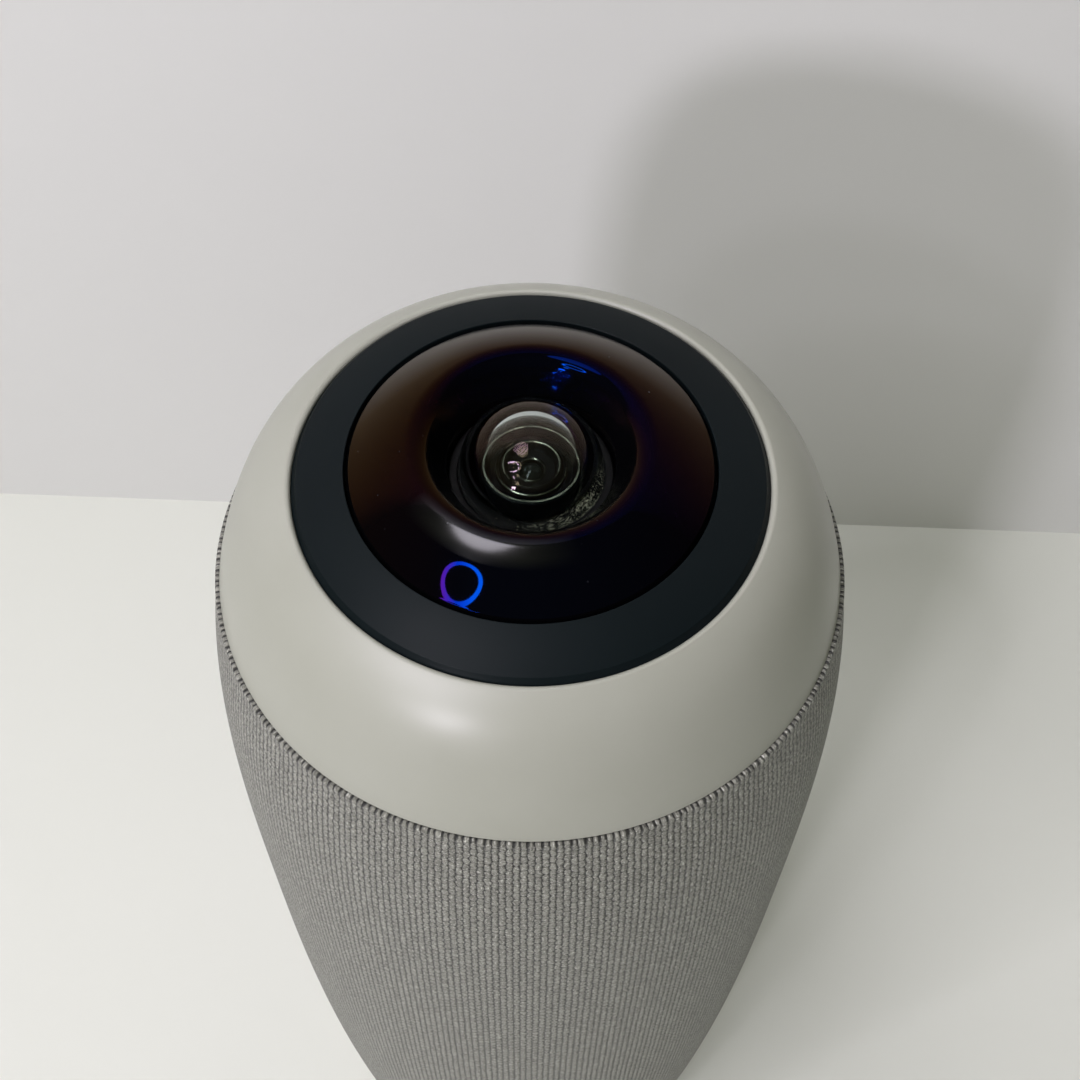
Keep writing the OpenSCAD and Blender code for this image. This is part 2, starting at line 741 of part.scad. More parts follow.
module rear_lens() {
    color("#1d3a36", 0.5)
        bulged_lens(rear_lens_r, rear_lens_t, second_lens_curve, tail_z + snug + clear);
}

// Camera module
module lens_mount() {
    color("#1f1f21") difference() {
        union() {
            block(mount_w, -mount_w / 2, mount_w / 2, sensor_board_z + board_t, mount_top_z);
            disc(mount_r, mount_top_z - cut, bell_z - clear);
        }
        disc(tail_r + snug, sensor_board_z, bell_z + cut);
        corners(mount_screw_at, mount_screw_at) disc(screw_r, sensor_board_z, mount_top_z + cut);
    }
}
module image_sensor() {
    color("#3a4048") translate([-sensor_size.x / 2, -sensor_size.y / 2, sensor_board_z + board_t])
        cube(sensor_size);
}

module sensor_board() {
    color("#1d5a3a") difference() {
        block(sensor_board_w, -sensor_board_w / 2, sensor_board_w / 2,
              sensor_board_z, sensor_board_z + board_t);
        corners(mount_screw_at, mount_screw_at)
            disc(screw_r, sensor_board_z - cut, sensor_board_z + board_t + cut);
    }
}

module camera_bracket() {
    color("#a9adb0") difference() {
        union() {
            disc(mount_w / 2 * sqrt(2), mount_top_z, bracket_top_z);
            for (a = speaker_turns) rotate(a) {
                translate([0, -bracket_end_r, mount_top_z])
                    cube([bracket_at, 2 * bracket_end_r, bracket_t]);
                translate([bracket_at, 0, 0]) disc(bracket_end_r, mount_top_z, bracket_top_z);
            }
        }
        disc(mount_r + snug, mount_top_z - cut, bracket_top_z + cut);
        corners(mount_screw_at, mount_screw_at) disc(screw_r, mount_top_z - cut, bracket_top_z + cut);
        around(speaker_turns, bracket_at) disc(small_r, mount_top_z - cut, bracket_top_z + cut);
    }
}

module camera_flex() {
    main_top_z = web_mid_z + main_size.y / 2;
    color("#b3772a") union() {
        block(flex_w, main_face_y, main_face_y + flex_t, main_top_z - 2 * plug_size.y,
              sensor_board_z);
        block(flex_w, main_face_y - 2 * plug_size.y, main_face_y + flex_t,
              sensor_board_z - flex_t, sensor_board_z);
    }
    color("#e6e2d6") block(plug_size.x, main_face_y + flex_t, main_face_y + flex_t + plug_size.z,
                           main_top_z - 2 * plug_size.y, main_top_z - plug_size.y);
    color("#e6e2d6") block(plug_size.x, main_face_y - 2 * plug_size.y, main_face_y - plug_size.y,
                           sensor_board_z - flex_t - plug_size.z, sensor_board_z - flex_t);
}

// Microphones and status light
module mic_board() {
    color("#1d5a3a") difference() {
        ring(mic_board_r, mic_board_in_r, mic_board_z, mic_board_z + board_t);
        around(corner_turns, cap_boss_at)
            disc(cap_boss_r + clear, mic_board_z - cut, mic_board_z + board_t + cut);
    }
}

module microphones() {
    color("#c9b36a") around([for (i = [0:mic_count - 1]) (i + 0.5) * 360 / mic_count], mic_at)
        translate([-mic_size.x / 2, -mic_size.y / 2, mic_board_z + board_t]) cube(mic_size);
}

module light_ring() {
    color("#eef2f0", 0.7) ring(spigot_r, spigot_r - light_t, deck_top_z, deck_top_z + light_h);
}

module status_leds() {
    turns = [for (a = corner_turns, i = [1:leds_per_side]) a + i * 120 / (leds_per_side + 1)];
    color("#f6f4e6") around(turns, mic_board_r - led_size.x)
        translate([-led_size.x / 2, -led_size.y / 2, mic_board_z + board_t]) cube(led_size);
}

// Body
module fabric_sleeve() {
    color("#8b8b86") union() {
        curved_wall(base_h + clear, seam_z - fold_r, 0, fabric_t);
        translate([0, 0, seam_z - fold_r]) rotate_extrude()
            translate([body_at(seam_z - fold_r) + fold_out - fold_r, 0]) circle(r = fold_r);
    }
}

module acoustic_frame() {
    row_pitch = (seam_z - base_h - 2 * band_h) / window_rows;
    window_w = 2 * PI * (base_r - frame_in) / window_columns - bar_w;
    color("#3a3b3d") difference() {
        curved_wall(base_h, seam_z - snug, fabric_t + snug, frame_t);
        for (row = [0:window_rows - 1], column = [0:window_columns / 2 - 1])
            rotate((column + 0.5) * 360 / window_columns)
                block(window_w, -2 * body_r, 2 * body_r,
                      base_h + band_h + row * row_pitch + bar_w / 2,
                      base_h + band_h + (row + 1) * row_pitch - bar_w / 2);
    }
}

module board_standoffs(size, y0, y1) {
    for (sx = [-1, 1], sz = [-1, 1])
        translate([sx * (size.x / 2 - standoff_in), 0, web_mid_z + sz * (size.y / 2 - standoff_in)])
            rod_y(standoff_r, y0, y1);
}

module board_screw_holes(size, y0, y1) {
    for (sx = [-1, 1], sz = [-1, 1])
        translate([sx * (size.x / 2 - standoff_in), 0, web_mid_z + sz * (size.y / 2 - standoff_in)])
            rod_y(small_r, y0, y1);
}

module core_frame() {
    color("#55585c") difference() {
        union() {
            box_shape(box_r, flat_at, box_top_z, core_z);
            disc(deck_r, web_top_z, deck_top_z);
            block(web_w, -web_t / 2, web_t / 2, core_z - cut, web_top_z + cut);
            board_standoffs(main_size, 0, main_y);
            board_standoffs(amp_size, -main_y, 0);
            around([0, 90, 180, 270], mic_post_at) disc(standoff_r, deck_top_z - cut, mic_board_z);
        }
        disc(cable_hole_r, web_top_z - cut, deck_top_z + cut);
        around(corner_turns, cap_boss_at) disc(screw_r, web_top_z - cut, deck_top_z + cut);
        around(corner_turns, box_screw_at) disc(screw_r, box_top_z - cut, core_z + cut);
        board_screw_holes(main_size, web_t / 2, main_y + cut);
        board_screw_holes(amp_size, -main_y - cut, -web_t / 2);
    }
}

// Boards
module main_board() {
    color("#1d5a3a") difference() {
        block(main_size.x, main_y, main_face_y,
              web_mid_z - main_size.y / 2, web_mid_z + main_size.y / 2);
        board_screw_holes(main_size, main_y - cut, main_face_y + cut);
    }
}

module processor() {
    color("#26272a") block(chip_size.x, main_face_y, sink_y,
                           sink_z - chip_size.y / 2, sink_z + chip_size.y / 2);
}

module heat_sink() {
    pitch = (sink_w - fin_t) / (fin_count - 1);
    color("#9a9ea2") union() {
        block(sink_w, sink_y, sink_y + sink_base, sink_z0, sink_z1);
        for (i = [0:fin_count - 1])
            translate([(fin_t - sink_w) / 2 + i * pitch, 0, 0])
                block(fin_t, sink_y + sink_base - cut, sink_y + sink_base + fin_l,
                      sink_z0, sink_z1);
    }
}

module shield_can() {
    color("#c3c6c8") block(can_size.x, main_face_y, main_face_y + can_size.z,
                           can_z, can_z + can_size.y);
}

module amplifier_board() {
    color("#1b4f6b") difference() {
        block(amp_size.x, -main_face_y, -main_y,
              web_mid_z - amp_size.y / 2, web_mid_z + amp_size.y / 2);
        board_screw_holes(amp_size, -main_face_y - cut, -main_y + cut);
    }
}

module capacitors() {
    pitch = 2 * capacitor_r + cut;
    color("#20242c") for (i = [0:capacitor_count - 1])
        translate([(i - (capacitor_count - 1) / 2) * pitch, 0, web_mid_z])
            rod_y(capacitor_r, -main_face_y - capacitor_l, -main_face_y);
}

// Loudspeakers
module box_shape(r, flat, z0, z1) {
    difference() {
        disc(r, z0, z1);
        for (a = speaker_turns) rotate(a)
            translate([flat, -r, z0 - cut]) cube([r, 2 * r, z1 - z0 + 2 * cut]);
    }
}

module speaker_box() {
    boss_h = screw_l + cut;
    color("#2f3134") difference() {
        union() {
            difference() {
                box_shape(box_r, flat_at, base_h, box_top_z);
                box_shape(box_r - box_t, flat_at - box_t, base_h + box_t, box_top_z - box_t);
            }
            around(corner_turns, box_screw_at) disc(screw_boss_r, base_h + box_t / 2, base_h + boss_h);
            around(corner_turns, box_screw_at)
                disc(screw_boss_r, box_top_z - boss_h, box_top_z - box_t / 2);
        }
        for (a = speaker_turns) speaker_axis(a)
            disc(basket_r + basket_t + clear, flat_at - box_t - cut, flat_at + cut);
        around(corner_turns, box_screw_at) {
            disc(screw_r, base_h - cut, base_h + screw_l);
            disc(screw_r, box_top_z - screw_l, box_top_z + cut);
        }
        for (a = speaker_turns) speaker_axis(a) around(flange_turns, flange_screw_at)
            disc(small_r, flat_at - box_t - cut, flat_at + cut);
    }
}

module speaker_baskets() {
    color("#232427") for (a = speaker_turns) speaker_axis(a) difference() {
        union() {
            ring(speaker_r, basket_r, flat_at, flange_s);
            rotate_extrude() polygon([
                [basket_r, flange_s], [basket_r + basket_t, flange_s],
                [basket_foot_r + basket_t, basket_foot_s + basket_t],
                [basket_foot_r + basket_t / 2, basket_foot_s], [gap_out_r, basket_foot_s],
                [gap_out_r, basket_foot_s + basket_t], [basket_foot_r, basket_foot_s + basket_t]
            ]);
        }
        around(flange_turns, flange_screw_at) disc(small_r, flat_at - cut, flange_s + cut);
    }
}

module speaker_magnets() {
    color("#3b3d42") for (a = speaker_turns) speaker_axis(a)
        ring(magnet_r, gap_out_r + cut, magnet_s, top_yoke_s);
}

module speaker_yokes() {
    color("#8f9398") for (a = speaker_turns) speaker_axis(a) {
        disc(magnet_r, back_yoke_s, magnet_s);
        disc(pole_r, magnet_s, basket_foot_s);
        ring(magnet_r, gap_out_r, top_yoke_s, basket_foot_s);
    }
}

module speaker_spiders() {
    outer_r = basket_foot_r + (spider_s - basket_foot_s - basket_t)
        * (basket_r - basket_foot_r) / (basket_d - basket_t) - snug;
    color("#b98f4e") for (a = speaker_turns) speaker_axis(a)
        ring(outer_r, coil_out_r + clear, spider_s, spider_s + spider_t);
}

module speaker_surrounds() {
    color("#161617") for (a = speaker_turns) speaker_axis(a) {
        ring(surround_lip_r, roll_at + roll_r - roll_t, flange_s, flange_s + roll_t);
        intersection() {
            translate([0, 0, flange_s]) rotate_extrude() translate([roll_at, 0]) difference() {
                circle(r = roll_r);
                circle(r = roll_r - roll_t);
            }
            disc(surround_lip_r, flange_s, flange_s + roll_r);
        }
    }
}

module speaker_cone(turn) {
    color("#2a2b2e") speaker_axis(turn) rotate_extrude() polygon([
        [0, dust_cap_s - cone_t], [coil_r / 2, dust_mid_s - cone_t],
        [coil_r, cone_foot_s - cone_t], [coil_r, coil_end_s], [coil_out_r, coil_end_s],
        [coil_out_r, cone_foot_s - cone_t], [cone_r - cone_t, cone_rim_s - cone_t],
        [cone_r, cone_rim_s - cone_t], [cone_r, cone_rim_s], [cone_r - cone_t, cone_rim_s],
        [coil_out_r, cone_foot_s], [coil_r / 2, dust_mid_s], [0, dust_cap_s]
    ]);
}

// Base
module base_screw_places() {
    corners(base_screw_at.x, base_screw_at.y) children();
}

module button_rails() {
    for (side = [0, 1]) mirror([side, 0, 0])
        translate([button_board_w / 2 - rail_grip, button_board_y - rail_grip, plate_top_z + clear])
            cube([rail_grip + rail_t, board_t + 2 * rail_grip, base_deck_z - plate_top_z]);
}

module base_housing() {
    chamfer = base_t / 4;
    pad_w = 3 * button_pitch + 2 * (button_r + collar_w + cut);
    color("#c4c5be") difference() {
        union() {
            difference() {
                rotate_extrude() polygon(concat(
                    [[0, plate_z], [body_at(plate_z) - chamfer, plate_z]],
                    [for (z = between(plate_z + chamfer, base_h, arc_steps)) [body_at(z), z]],
                    [[0, base_h]]
                ));
                body_fill(plate_z - cut, base_deck_z, base_t);
            }
            base_screw_places() disc(screw_boss_r, plate_top_z, base_deck_z + cut);
            intersection() {
                body_fill(plate_z, base_h, base_t / 2);
                union() {
                    block(port_w + 2 * port_t, port_at - port_wall_t, 2 * body_r,
                          plate_top_z, base_h);
                    block(pad_w, -2 * body_r, -pad_at, plate_top_z + clear, base_h);
                }
            }
            button_rails();
        }
        for (x = button_places) translate([x, 0, button_z])
            rod_y(button_r + button_gap, -2 * body_r, -pad_at + cut);
        block(button_board_w + 2 * snug, button_board_y - snug, button_board_y + board_t + snug,
              plate_z, base_deck_z - clear);
        block(port_w, port_at, 2 * body_r, port_z, port_z + port_h);
        translate([socket_pitch / 2, 0, port_mid_z])
            block(jack_w + 2 * snug, 0, port_at + cut, -jack_w / 2 - snug, jack_w / 2 + snug);
        translate([-socket_pitch / 2, 0, port_mid_z])
            stadium(data_size.x + 2 * snug, data_size.y + 2 * snug, 0, port_at + cut);
        base_screw_places() disc(screw_r, plate_top_z - cut, plate_top_z + screw_l);
        around(corner_turns, box_screw_at) disc(screw_r, base_deck_z - cut, base_h + cut);
        around([speaker_turns[1]], cable_pass_at) disc(cable_pass_r, base_deck_z - cut, base_h + cut);
    }
}

module bottom_plate() {
    color("#4a4c4f") difference() {
        disc(plate_r, plate_z, plate_top_z);
        ring(foot_r + clear, foot_in_r - clear, plate_z - cut, foot_t);
        disc(insert_r + snug, plate_z - cut, plate_top_z + cut);
        base_screw_places() {
            disc(screw_r, foot_t - cut, plate_top_z + cut);
            disc(screw_head_r + snug, foot_t - cut, foot_t + screw_head_h + snug);
        }
    }
}

module rubber_foot() {
    color("#2c2c2c") ring(foot_r, foot_in_r, 0, foot_t);
}

module tripod_insert() {
    rim_w = insert_r / 2;
    rim_h = insert_r / 4;
    color("#b08d45") difference() {
        union() {
            disc(insert_r, plate_z, plate_z + thread_l + cut);
            disc(insert_r + rim_w, plate_top_z, plate_top_z + rim_h);
        }
        disc(thread_r, plate_z - cut, plate_z + thread_l);
    }
}

// Buttons
module button(x) {
    color("#b4b5ae") {
        intersection() {
            translate([x, 0, button_z]) rod_y(button_r, -2 * body_r, collar_y + cut / 2);
            body_fill(plate_z, base_h, -button_proud);
        }
        translate([x, 0, button_z]) {
            rod_y(button_r + collar_w, collar_y, post_y);
            rod_y(plunger_r, post_y - cut / 2, plunger_y);
        }
    }
}

module plunger(x) {
    color("#202022") translate([x, 0, button_z])
        rod_y(plunger_r, plunger_y, switch_y + plunger_in);
}

module switch_bodies() {
    color("#85888c") for (x = button_places) translate([x, 0, button_z]) difference() {
        block(switch_w, switch_y, switch_y + switch_d, -switch_w / 2, switch_w / 2);
        rod_y(plunger_r + snug, switch_y - cut, switch_y + plunger_in + button_travel + snug);
    }
}

module button_board() {
    color("#1d5a3a") block(button_board_w, button_board_y, button_board_y + board_t,
                           button_z - button_board_h / 2, button_z + button_board_h / 2);
}

// Ports
module stadium(w, h, y0, y1) {
    block(w - h, y0, y1, -h / 2, h / 2);
    for (side = [-1, 1]) translate([side * (w - h) / 2, 0, 0]) rod_y(h / 2, y0, y1);
}

module port_board() {
    color("#1d5a3a") block(port_board_w, socket_y - board_t, socket_y,
                           plate_top_z + clear, base_deck_z - clear);
}

module power_socket() {
    front_y = port_at + socket_proud;
    color("#1c1c1e") translate([socket_pitch / 2, 0, port_mid_z]) {
        difference() {
            block(jack_w, socket_y, front_y, -jack_w / 2, jack_w / 2);
            rod_y(jack_r, front_y - jack_depth, front_y + cut);
        }
        rod_y(jack_pin_r, front_y - jack_depth - cut, front_y - jack_depth + jack_pin_l);
    }
}

module data_socket() {
    front_y = port_at + socket_proud;
    inner = data_size - 2 * data_wall_t * [1, 1];
    color("#b9bcbf") translate([-socket_pitch / 2, 0, port_mid_z]) {
        difference() {
            stadium(data_size.x, data_size.y, socket_y, front_y);
            stadium(inner.x, inner.y, socket_y + data_size.y, front_y + cut);
        }
        block(data_tongue.x, socket_y + data_size.y - cut, front_y - data_tongue_short,
              -data_tongue.y / 2, data_tongue.y / 2);
    }
}

// A screw whose head stands on z = 0 and whose shank goes down
module screw(head_r, head_h, r, l) {
    slot = head_r / 4;
    difference() {
        disc(head_r, 0, head_h);
        for (a = [0, 90]) rotate(a)
            block(2 * head_r * cross_share, -slot / 2, slot / 2, head_h / 2, head_h + cut);
    }
    disc(r, -l, 0);
}

module large_screw() {
    screw(screw_head_r, screw_head_h, screw_r, screw_l);
}

module small_screw() {
    screw(small_head_r, small_head_h, small_r, small_l);
}

module large_screws() {
    color("#8d9094") {
        base_screw_places() translate([0, 0, foot_t + screw_head_h + snug]) mirror([0, 0, 1])
            large_screw();
        around(corner_turns, box_screw_at) {
            translate([0, 0, base_deck_z]) mirror([0, 0, 1]) large_screw();
            translate([0, 0, core_z]) large_screw();
        }
        around(corner_turns, cap_boss_at) translate([0, 0, web_top_z]) mirror([0, 0, 1])
            large_screw();
        corners(mount_screw_at, mount_screw_at) translate([0, 0, sensor_board_z])
            mirror([0, 0, 1]) large_screw();
    }
}

module small_screws() {
    color("#8d9094") {
        around(speaker_turns, bracket_at) translate([0, 0, mount_top_z]) mirror([0, 0, 1])
            small_screw();
        for (a = speaker_turns) speaker_axis(a) around(flange_turns, flange_screw_at)
            translate([0, 0, flange_s]) small_screw();
        for (side = [0, 1], sx = [-1, 1], sz = [-1, 1]) mirror([0, side, 0]) {
            size = side == 0 ? main_size : amp_size;
            translate([sx * (size.x / 2 - standoff_in), main_face_y,
                       web_mid_z + sz * (size.y / 2 - standoff_in)])
                rotate([-90, 0, 0]) small_screw();
        }
    }
}

top_cap();
bezel_ring();
dome_shroud();
shroud_gasket();
lens_dome();
lens_retainer();
lens_barrel();
second_lens();
aperture_ring();
rear_lens();
lens_mount();
image_sensor();
sensor_board();
camera_bracket();
camera_flex();
mic_board();
microphones();
light_ring();
status_leds();
fabric_sleeve();
acoustic_frame();
core_frame();
main_board();
processor();
heat_sink();
shield_can();
amplifier_board();
capacitors();
speaker_box();
speaker_baskets();
speaker_magnets();
speaker_yokes();
speaker_spiders();
speaker_surrounds();
speaker_cone(speaker_turns[0]);  // speaker_cone_front
speaker_cone(speaker_turns[1]);  // speaker_cone_right
speaker_cone(speaker_turns[2]);  // speaker_cone_left
base_housing();
bottom_plate();
rubber_foot();
tripod_insert();
button_board();
switch_bodies();
button(button_places[0]);  // button_volume_down
button(button_places[1]);  // button_volume_up
button(button_places[2]);  // button_mute
button(button_places[3]);  // button_start
plunger(button_places[0]);  // plunger_volume_down
plunger(button_places[1]);  // plunger_volume_up
plunger(button_places[2]);  // plunger_mute
plunger(button_places[3]);  // plunger_start
port_board();
power_socket();
data_socket();
large_screws();
small_screws();
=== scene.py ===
"""Looks of a table-top conference camera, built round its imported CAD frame.

Every visible piece stands where the CAD says. Pieces of revolution are spun again
with finer steps, the fabric gets its knit, and each surface gets the finish of what
it is made of. Lengths are millimetres until they enter a mesh, except in the studio,
which is laid out in metres.
"""

import json
import logging
import math
from dataclasses import dataclass
from enum import Enum

import bmesh
import bpy
from mathutils import Matrix, Vector

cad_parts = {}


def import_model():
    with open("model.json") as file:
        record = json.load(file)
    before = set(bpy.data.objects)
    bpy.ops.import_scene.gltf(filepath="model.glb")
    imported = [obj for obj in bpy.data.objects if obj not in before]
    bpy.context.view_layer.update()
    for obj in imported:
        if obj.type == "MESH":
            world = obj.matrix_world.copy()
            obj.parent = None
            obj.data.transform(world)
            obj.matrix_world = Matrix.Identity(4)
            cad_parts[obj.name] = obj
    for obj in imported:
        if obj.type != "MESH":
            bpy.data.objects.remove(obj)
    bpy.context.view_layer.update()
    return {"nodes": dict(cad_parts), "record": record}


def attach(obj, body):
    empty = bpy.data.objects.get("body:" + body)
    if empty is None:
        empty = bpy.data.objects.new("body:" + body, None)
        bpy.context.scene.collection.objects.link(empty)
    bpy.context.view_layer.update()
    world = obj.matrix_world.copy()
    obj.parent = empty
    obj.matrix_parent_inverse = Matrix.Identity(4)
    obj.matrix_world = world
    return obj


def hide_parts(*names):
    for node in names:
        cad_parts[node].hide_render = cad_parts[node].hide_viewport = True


LOG = logging.getLogger("conference_camera")
MM = 0.001
TURN = 2 * math.pi
MAIN_BODY = "body"

Point = tuple[float, float]
Span = tuple[float, float]
Place = tuple[float, float, float]
Tree = bpy.types.NodeTree
Socket = bpy.types.NodeSocket
Colour = tuple[float, float, float, float]


class LampShape(Enum):
    """The shapes of the studio's lamps."""

    SQUARE = "SQUARE"
    DISK = "DISK"


def linear(code: str) -> Colour:
    """Turns an sRGB hex colour into the linear values that shaders take.

    Args:
        code: Six hex digits after a hash.

    Returns:
        Linear red, green and blue, and an alpha of 1.
    """
    parts = [int(code[i : i + 2], 16) / 255 for i in (1, 3, 5)]
    red, green, blue = (
        c / 12.92 if c <= 0.04045 else ((c + 0.055) / 1.055) ** 2.4 for c in parts
    )
    return (red, green, blue, 1.0)


def add_node(
    tree: Tree, kind: str, inputs: dict | None = None, **settings: object
) -> bpy.types.Node:
    """Adds a shader node with its settings, values and links.

    Args:
        tree: The node tree.
        kind: The node's type without its "ShaderNode" prefix.
        inputs: Socket name or index to a value or to the socket that feeds it.
        settings: Attributes of the node.

    Returns:
        The new node.
    """
    node = tree.nodes.new("ShaderNode" + kind)
    for name, value in settings.items():
        setattr(node, name, value)
    for name, value in (inputs or {}).items():
        if isinstance(value, bpy.types.NodeSocket):
            tree.links.new(value, node.inputs[name])
        else:
            node.inputs[name].default_value = value
    return node


def calc(tree: Tree, operation: str, *values: object, clamp: bool = False) -> Socket:
    """Adds one step of arithmetic.

    Args:
        tree: The node tree.
        operation: The Math node's operation.
        values: Numbers, or the sockets that feed them.
        clamp: Whether the result is held between 0 and 1.

    Returns:
        The result.
    """
    inputs = dict(enumerate(values))
    node = add_node(tree, "Math", inputs, operation=operation, use_clamp=clamp)
    return node.outputs["Value"]


def ramp(tree: Tree, value: Socket, start: Span, end: Span = (0.0, 1.0)) -> Socket:
    """Maps one span of values onto another and holds its ends.

    Args:
        tree: The node tree.
        value: What is mapped.
        start: The span that it runs through.
        end: The span that it is mapped onto.

    Returns:
        The mapped value.
    """
    inputs = {
        "Value": value,
        "From Min": start[0],
        "From Max": start[1],
        "To Min": end[0],
        "To Max": end[1],
    }
    return add_node(tree, "MapRange", inputs).outputs["Result"]


@dataclass(frozen=True)
class Finish:
    """A material made of nodes. Subclasses say how its surface looks."""

    name: str

    def surface(self, tree: Tree) -> Socket:
        """Builds the nodes and returns the socket of the surface's shader."""
        raise NotImplementedError

    def material(self) -> bpy.types.Material:
        """Makes the material on first use.

        Returns:
            The material.
        """
        known = bpy.data.materials.get(self.name)
        if known:
            return known
        made = bpy.data.materials.new(self.name)
        made.use_nodes = True
        tree = made.node_tree
        tree.nodes.clear()
        add_node(tree, "OutputMaterial", {"Surface": self.surface(tree)})
        return made

    @staticmethod
    def place(tree: Tree) -> Socket:
        """Returns the place in object space."""
        return add_node(tree, "TexCoord").outputs["Object"]

    @staticmethod
    def shader(tree: Tree, inputs: dict) -> Socket:
        """Returns a principled shader with these inputs."""
        return add_node(tree, "BsdfPrincipled", inputs).outputs["BSDF"]

    @staticmethod
    def grain(tree: Tree, size_mm: float, detail: float = 3.0) -> Socket:
        """Makes even noise in object space.

        Args:
            tree: The material's node tree.
            size_mm: How wide its blobs are.
            detail: How many finer layers it has.

        Returns:
            The noise.
        """
        inputs = {
            "Vector": Finish.place(tree),
            "Scale": 0.5 / (size_mm * MM),
            "Detail": detail,
        }
        return add_node(tree, "TexNoise", inputs).outputs["Fac"]

    @staticmethod
    def spread(tree: Tree, value: Socket, low: float, high: float) -> Socket:
        """Maps a noise's usual range onto low to high."""
        return ramp(tree, value, (0.3, 0.7), (low, high))

    @staticmethod
    def mix(
        tree: Tree, share: Socket, low: str | Socket, high: str | Socket
    ) -> Socket:
        """Mixes two colours.

        Args:
            tree: The material's node tree.
            share: How much there is of the second one.
            low: The first colour, a hex code or a socket.
            high: The second colour, a hex code or a socket.

        Returns:
            The mixed colour.
        """
        first, second = (linear(c) if isinstance(c, str) else c for c in (low, high))
        inputs = {"Factor": share, "A": first, "B": second}
        return add_node(tree, "Mix", inputs, data_type="RGBA").outputs["Result"]

    @staticmethod
    def blend(tree: Tree, share: Socket, first: Socket, second: Socket) -> Socket:
        """Mixes two shaders by a share."""
        inputs = {"Fac": share, 1: first, 2: second}
        return add_node(tree, "MixShader", inputs).outputs["Shader"]

    @staticmethod
    def bump(tree: Tree, height: Socket, depth_mm: float) -> Socket:
        """Returns the normal of a relief depth_mm deep."""
        inputs = {"Height": height, "Distance": depth_mm * MM}
        return add_node(tree, "Bump", inputs).outputs["Normal"]

    @staticmethod
    def sector(tree: Tree, towards: float, reach: float) -> Socket:
        """Marks a soft-edged sector round the upright axis.

        Args:
            tree: The material's node tree.
            towards: The sector's middle, in degrees from +X.
            reach: Half its width, in degrees.

        Returns:
            1 in the sector's middle and 0 outside it.
        """
        place = Finish.place(tree)
        across, along, _ = add_node(tree, "SeparateXYZ", {0: place}).outputs
        turn = calc(tree, "ARCTAN2", along, across)
        off = calc(tree, "SUBTRACT", turn, math.radians(towards))
        off = calc(tree, "ABSOLUTE", off)
        return ramp(tree, off, (math.radians(reach), math.radians(reach * 0.4)))


@dataclass(frozen=True)
class MouldedPlastic(Finish):
    """ABS or polycarbonate from a spark-eroded mould: satin, with a fine even grain
    and slight smudges in its gloss."""

    colour: str = "#C6C6BC"
    shade: str = "#BEBEB2"
    roughness: float = 0.42
    grain_mm: float = 0.25
    grain_depth: float = 0.004
    smudge_mm: float = 14.0
    specular: float = 0.5
    smudged: Span = (-0.05, 0.06)

    def surface(self, tree: Tree) -> Socket:
        """Builds satin plastic.

        Args:
            tree: The material's node tree.

        Returns:
            The shader.
        """
        smudge = self.grain(tree, self.smudge_mm, 5.0)
        grain = self.grain(tree, self.grain_mm)
        low, high = (self.roughness + change for change in self.smudged)
        shares = self.spread(tree, smudge, 0, 1)
        return self.shader(
            tree,
            {
                "Base Color": self.mix(tree, shares, self.shade, self.colour),
                "Roughness": self.spread(tree, smudge, low, high),
                "Specular IOR Level": self.specular,
                "Normal": self.bump(tree, grain, self.grain_depth),
            },
        )


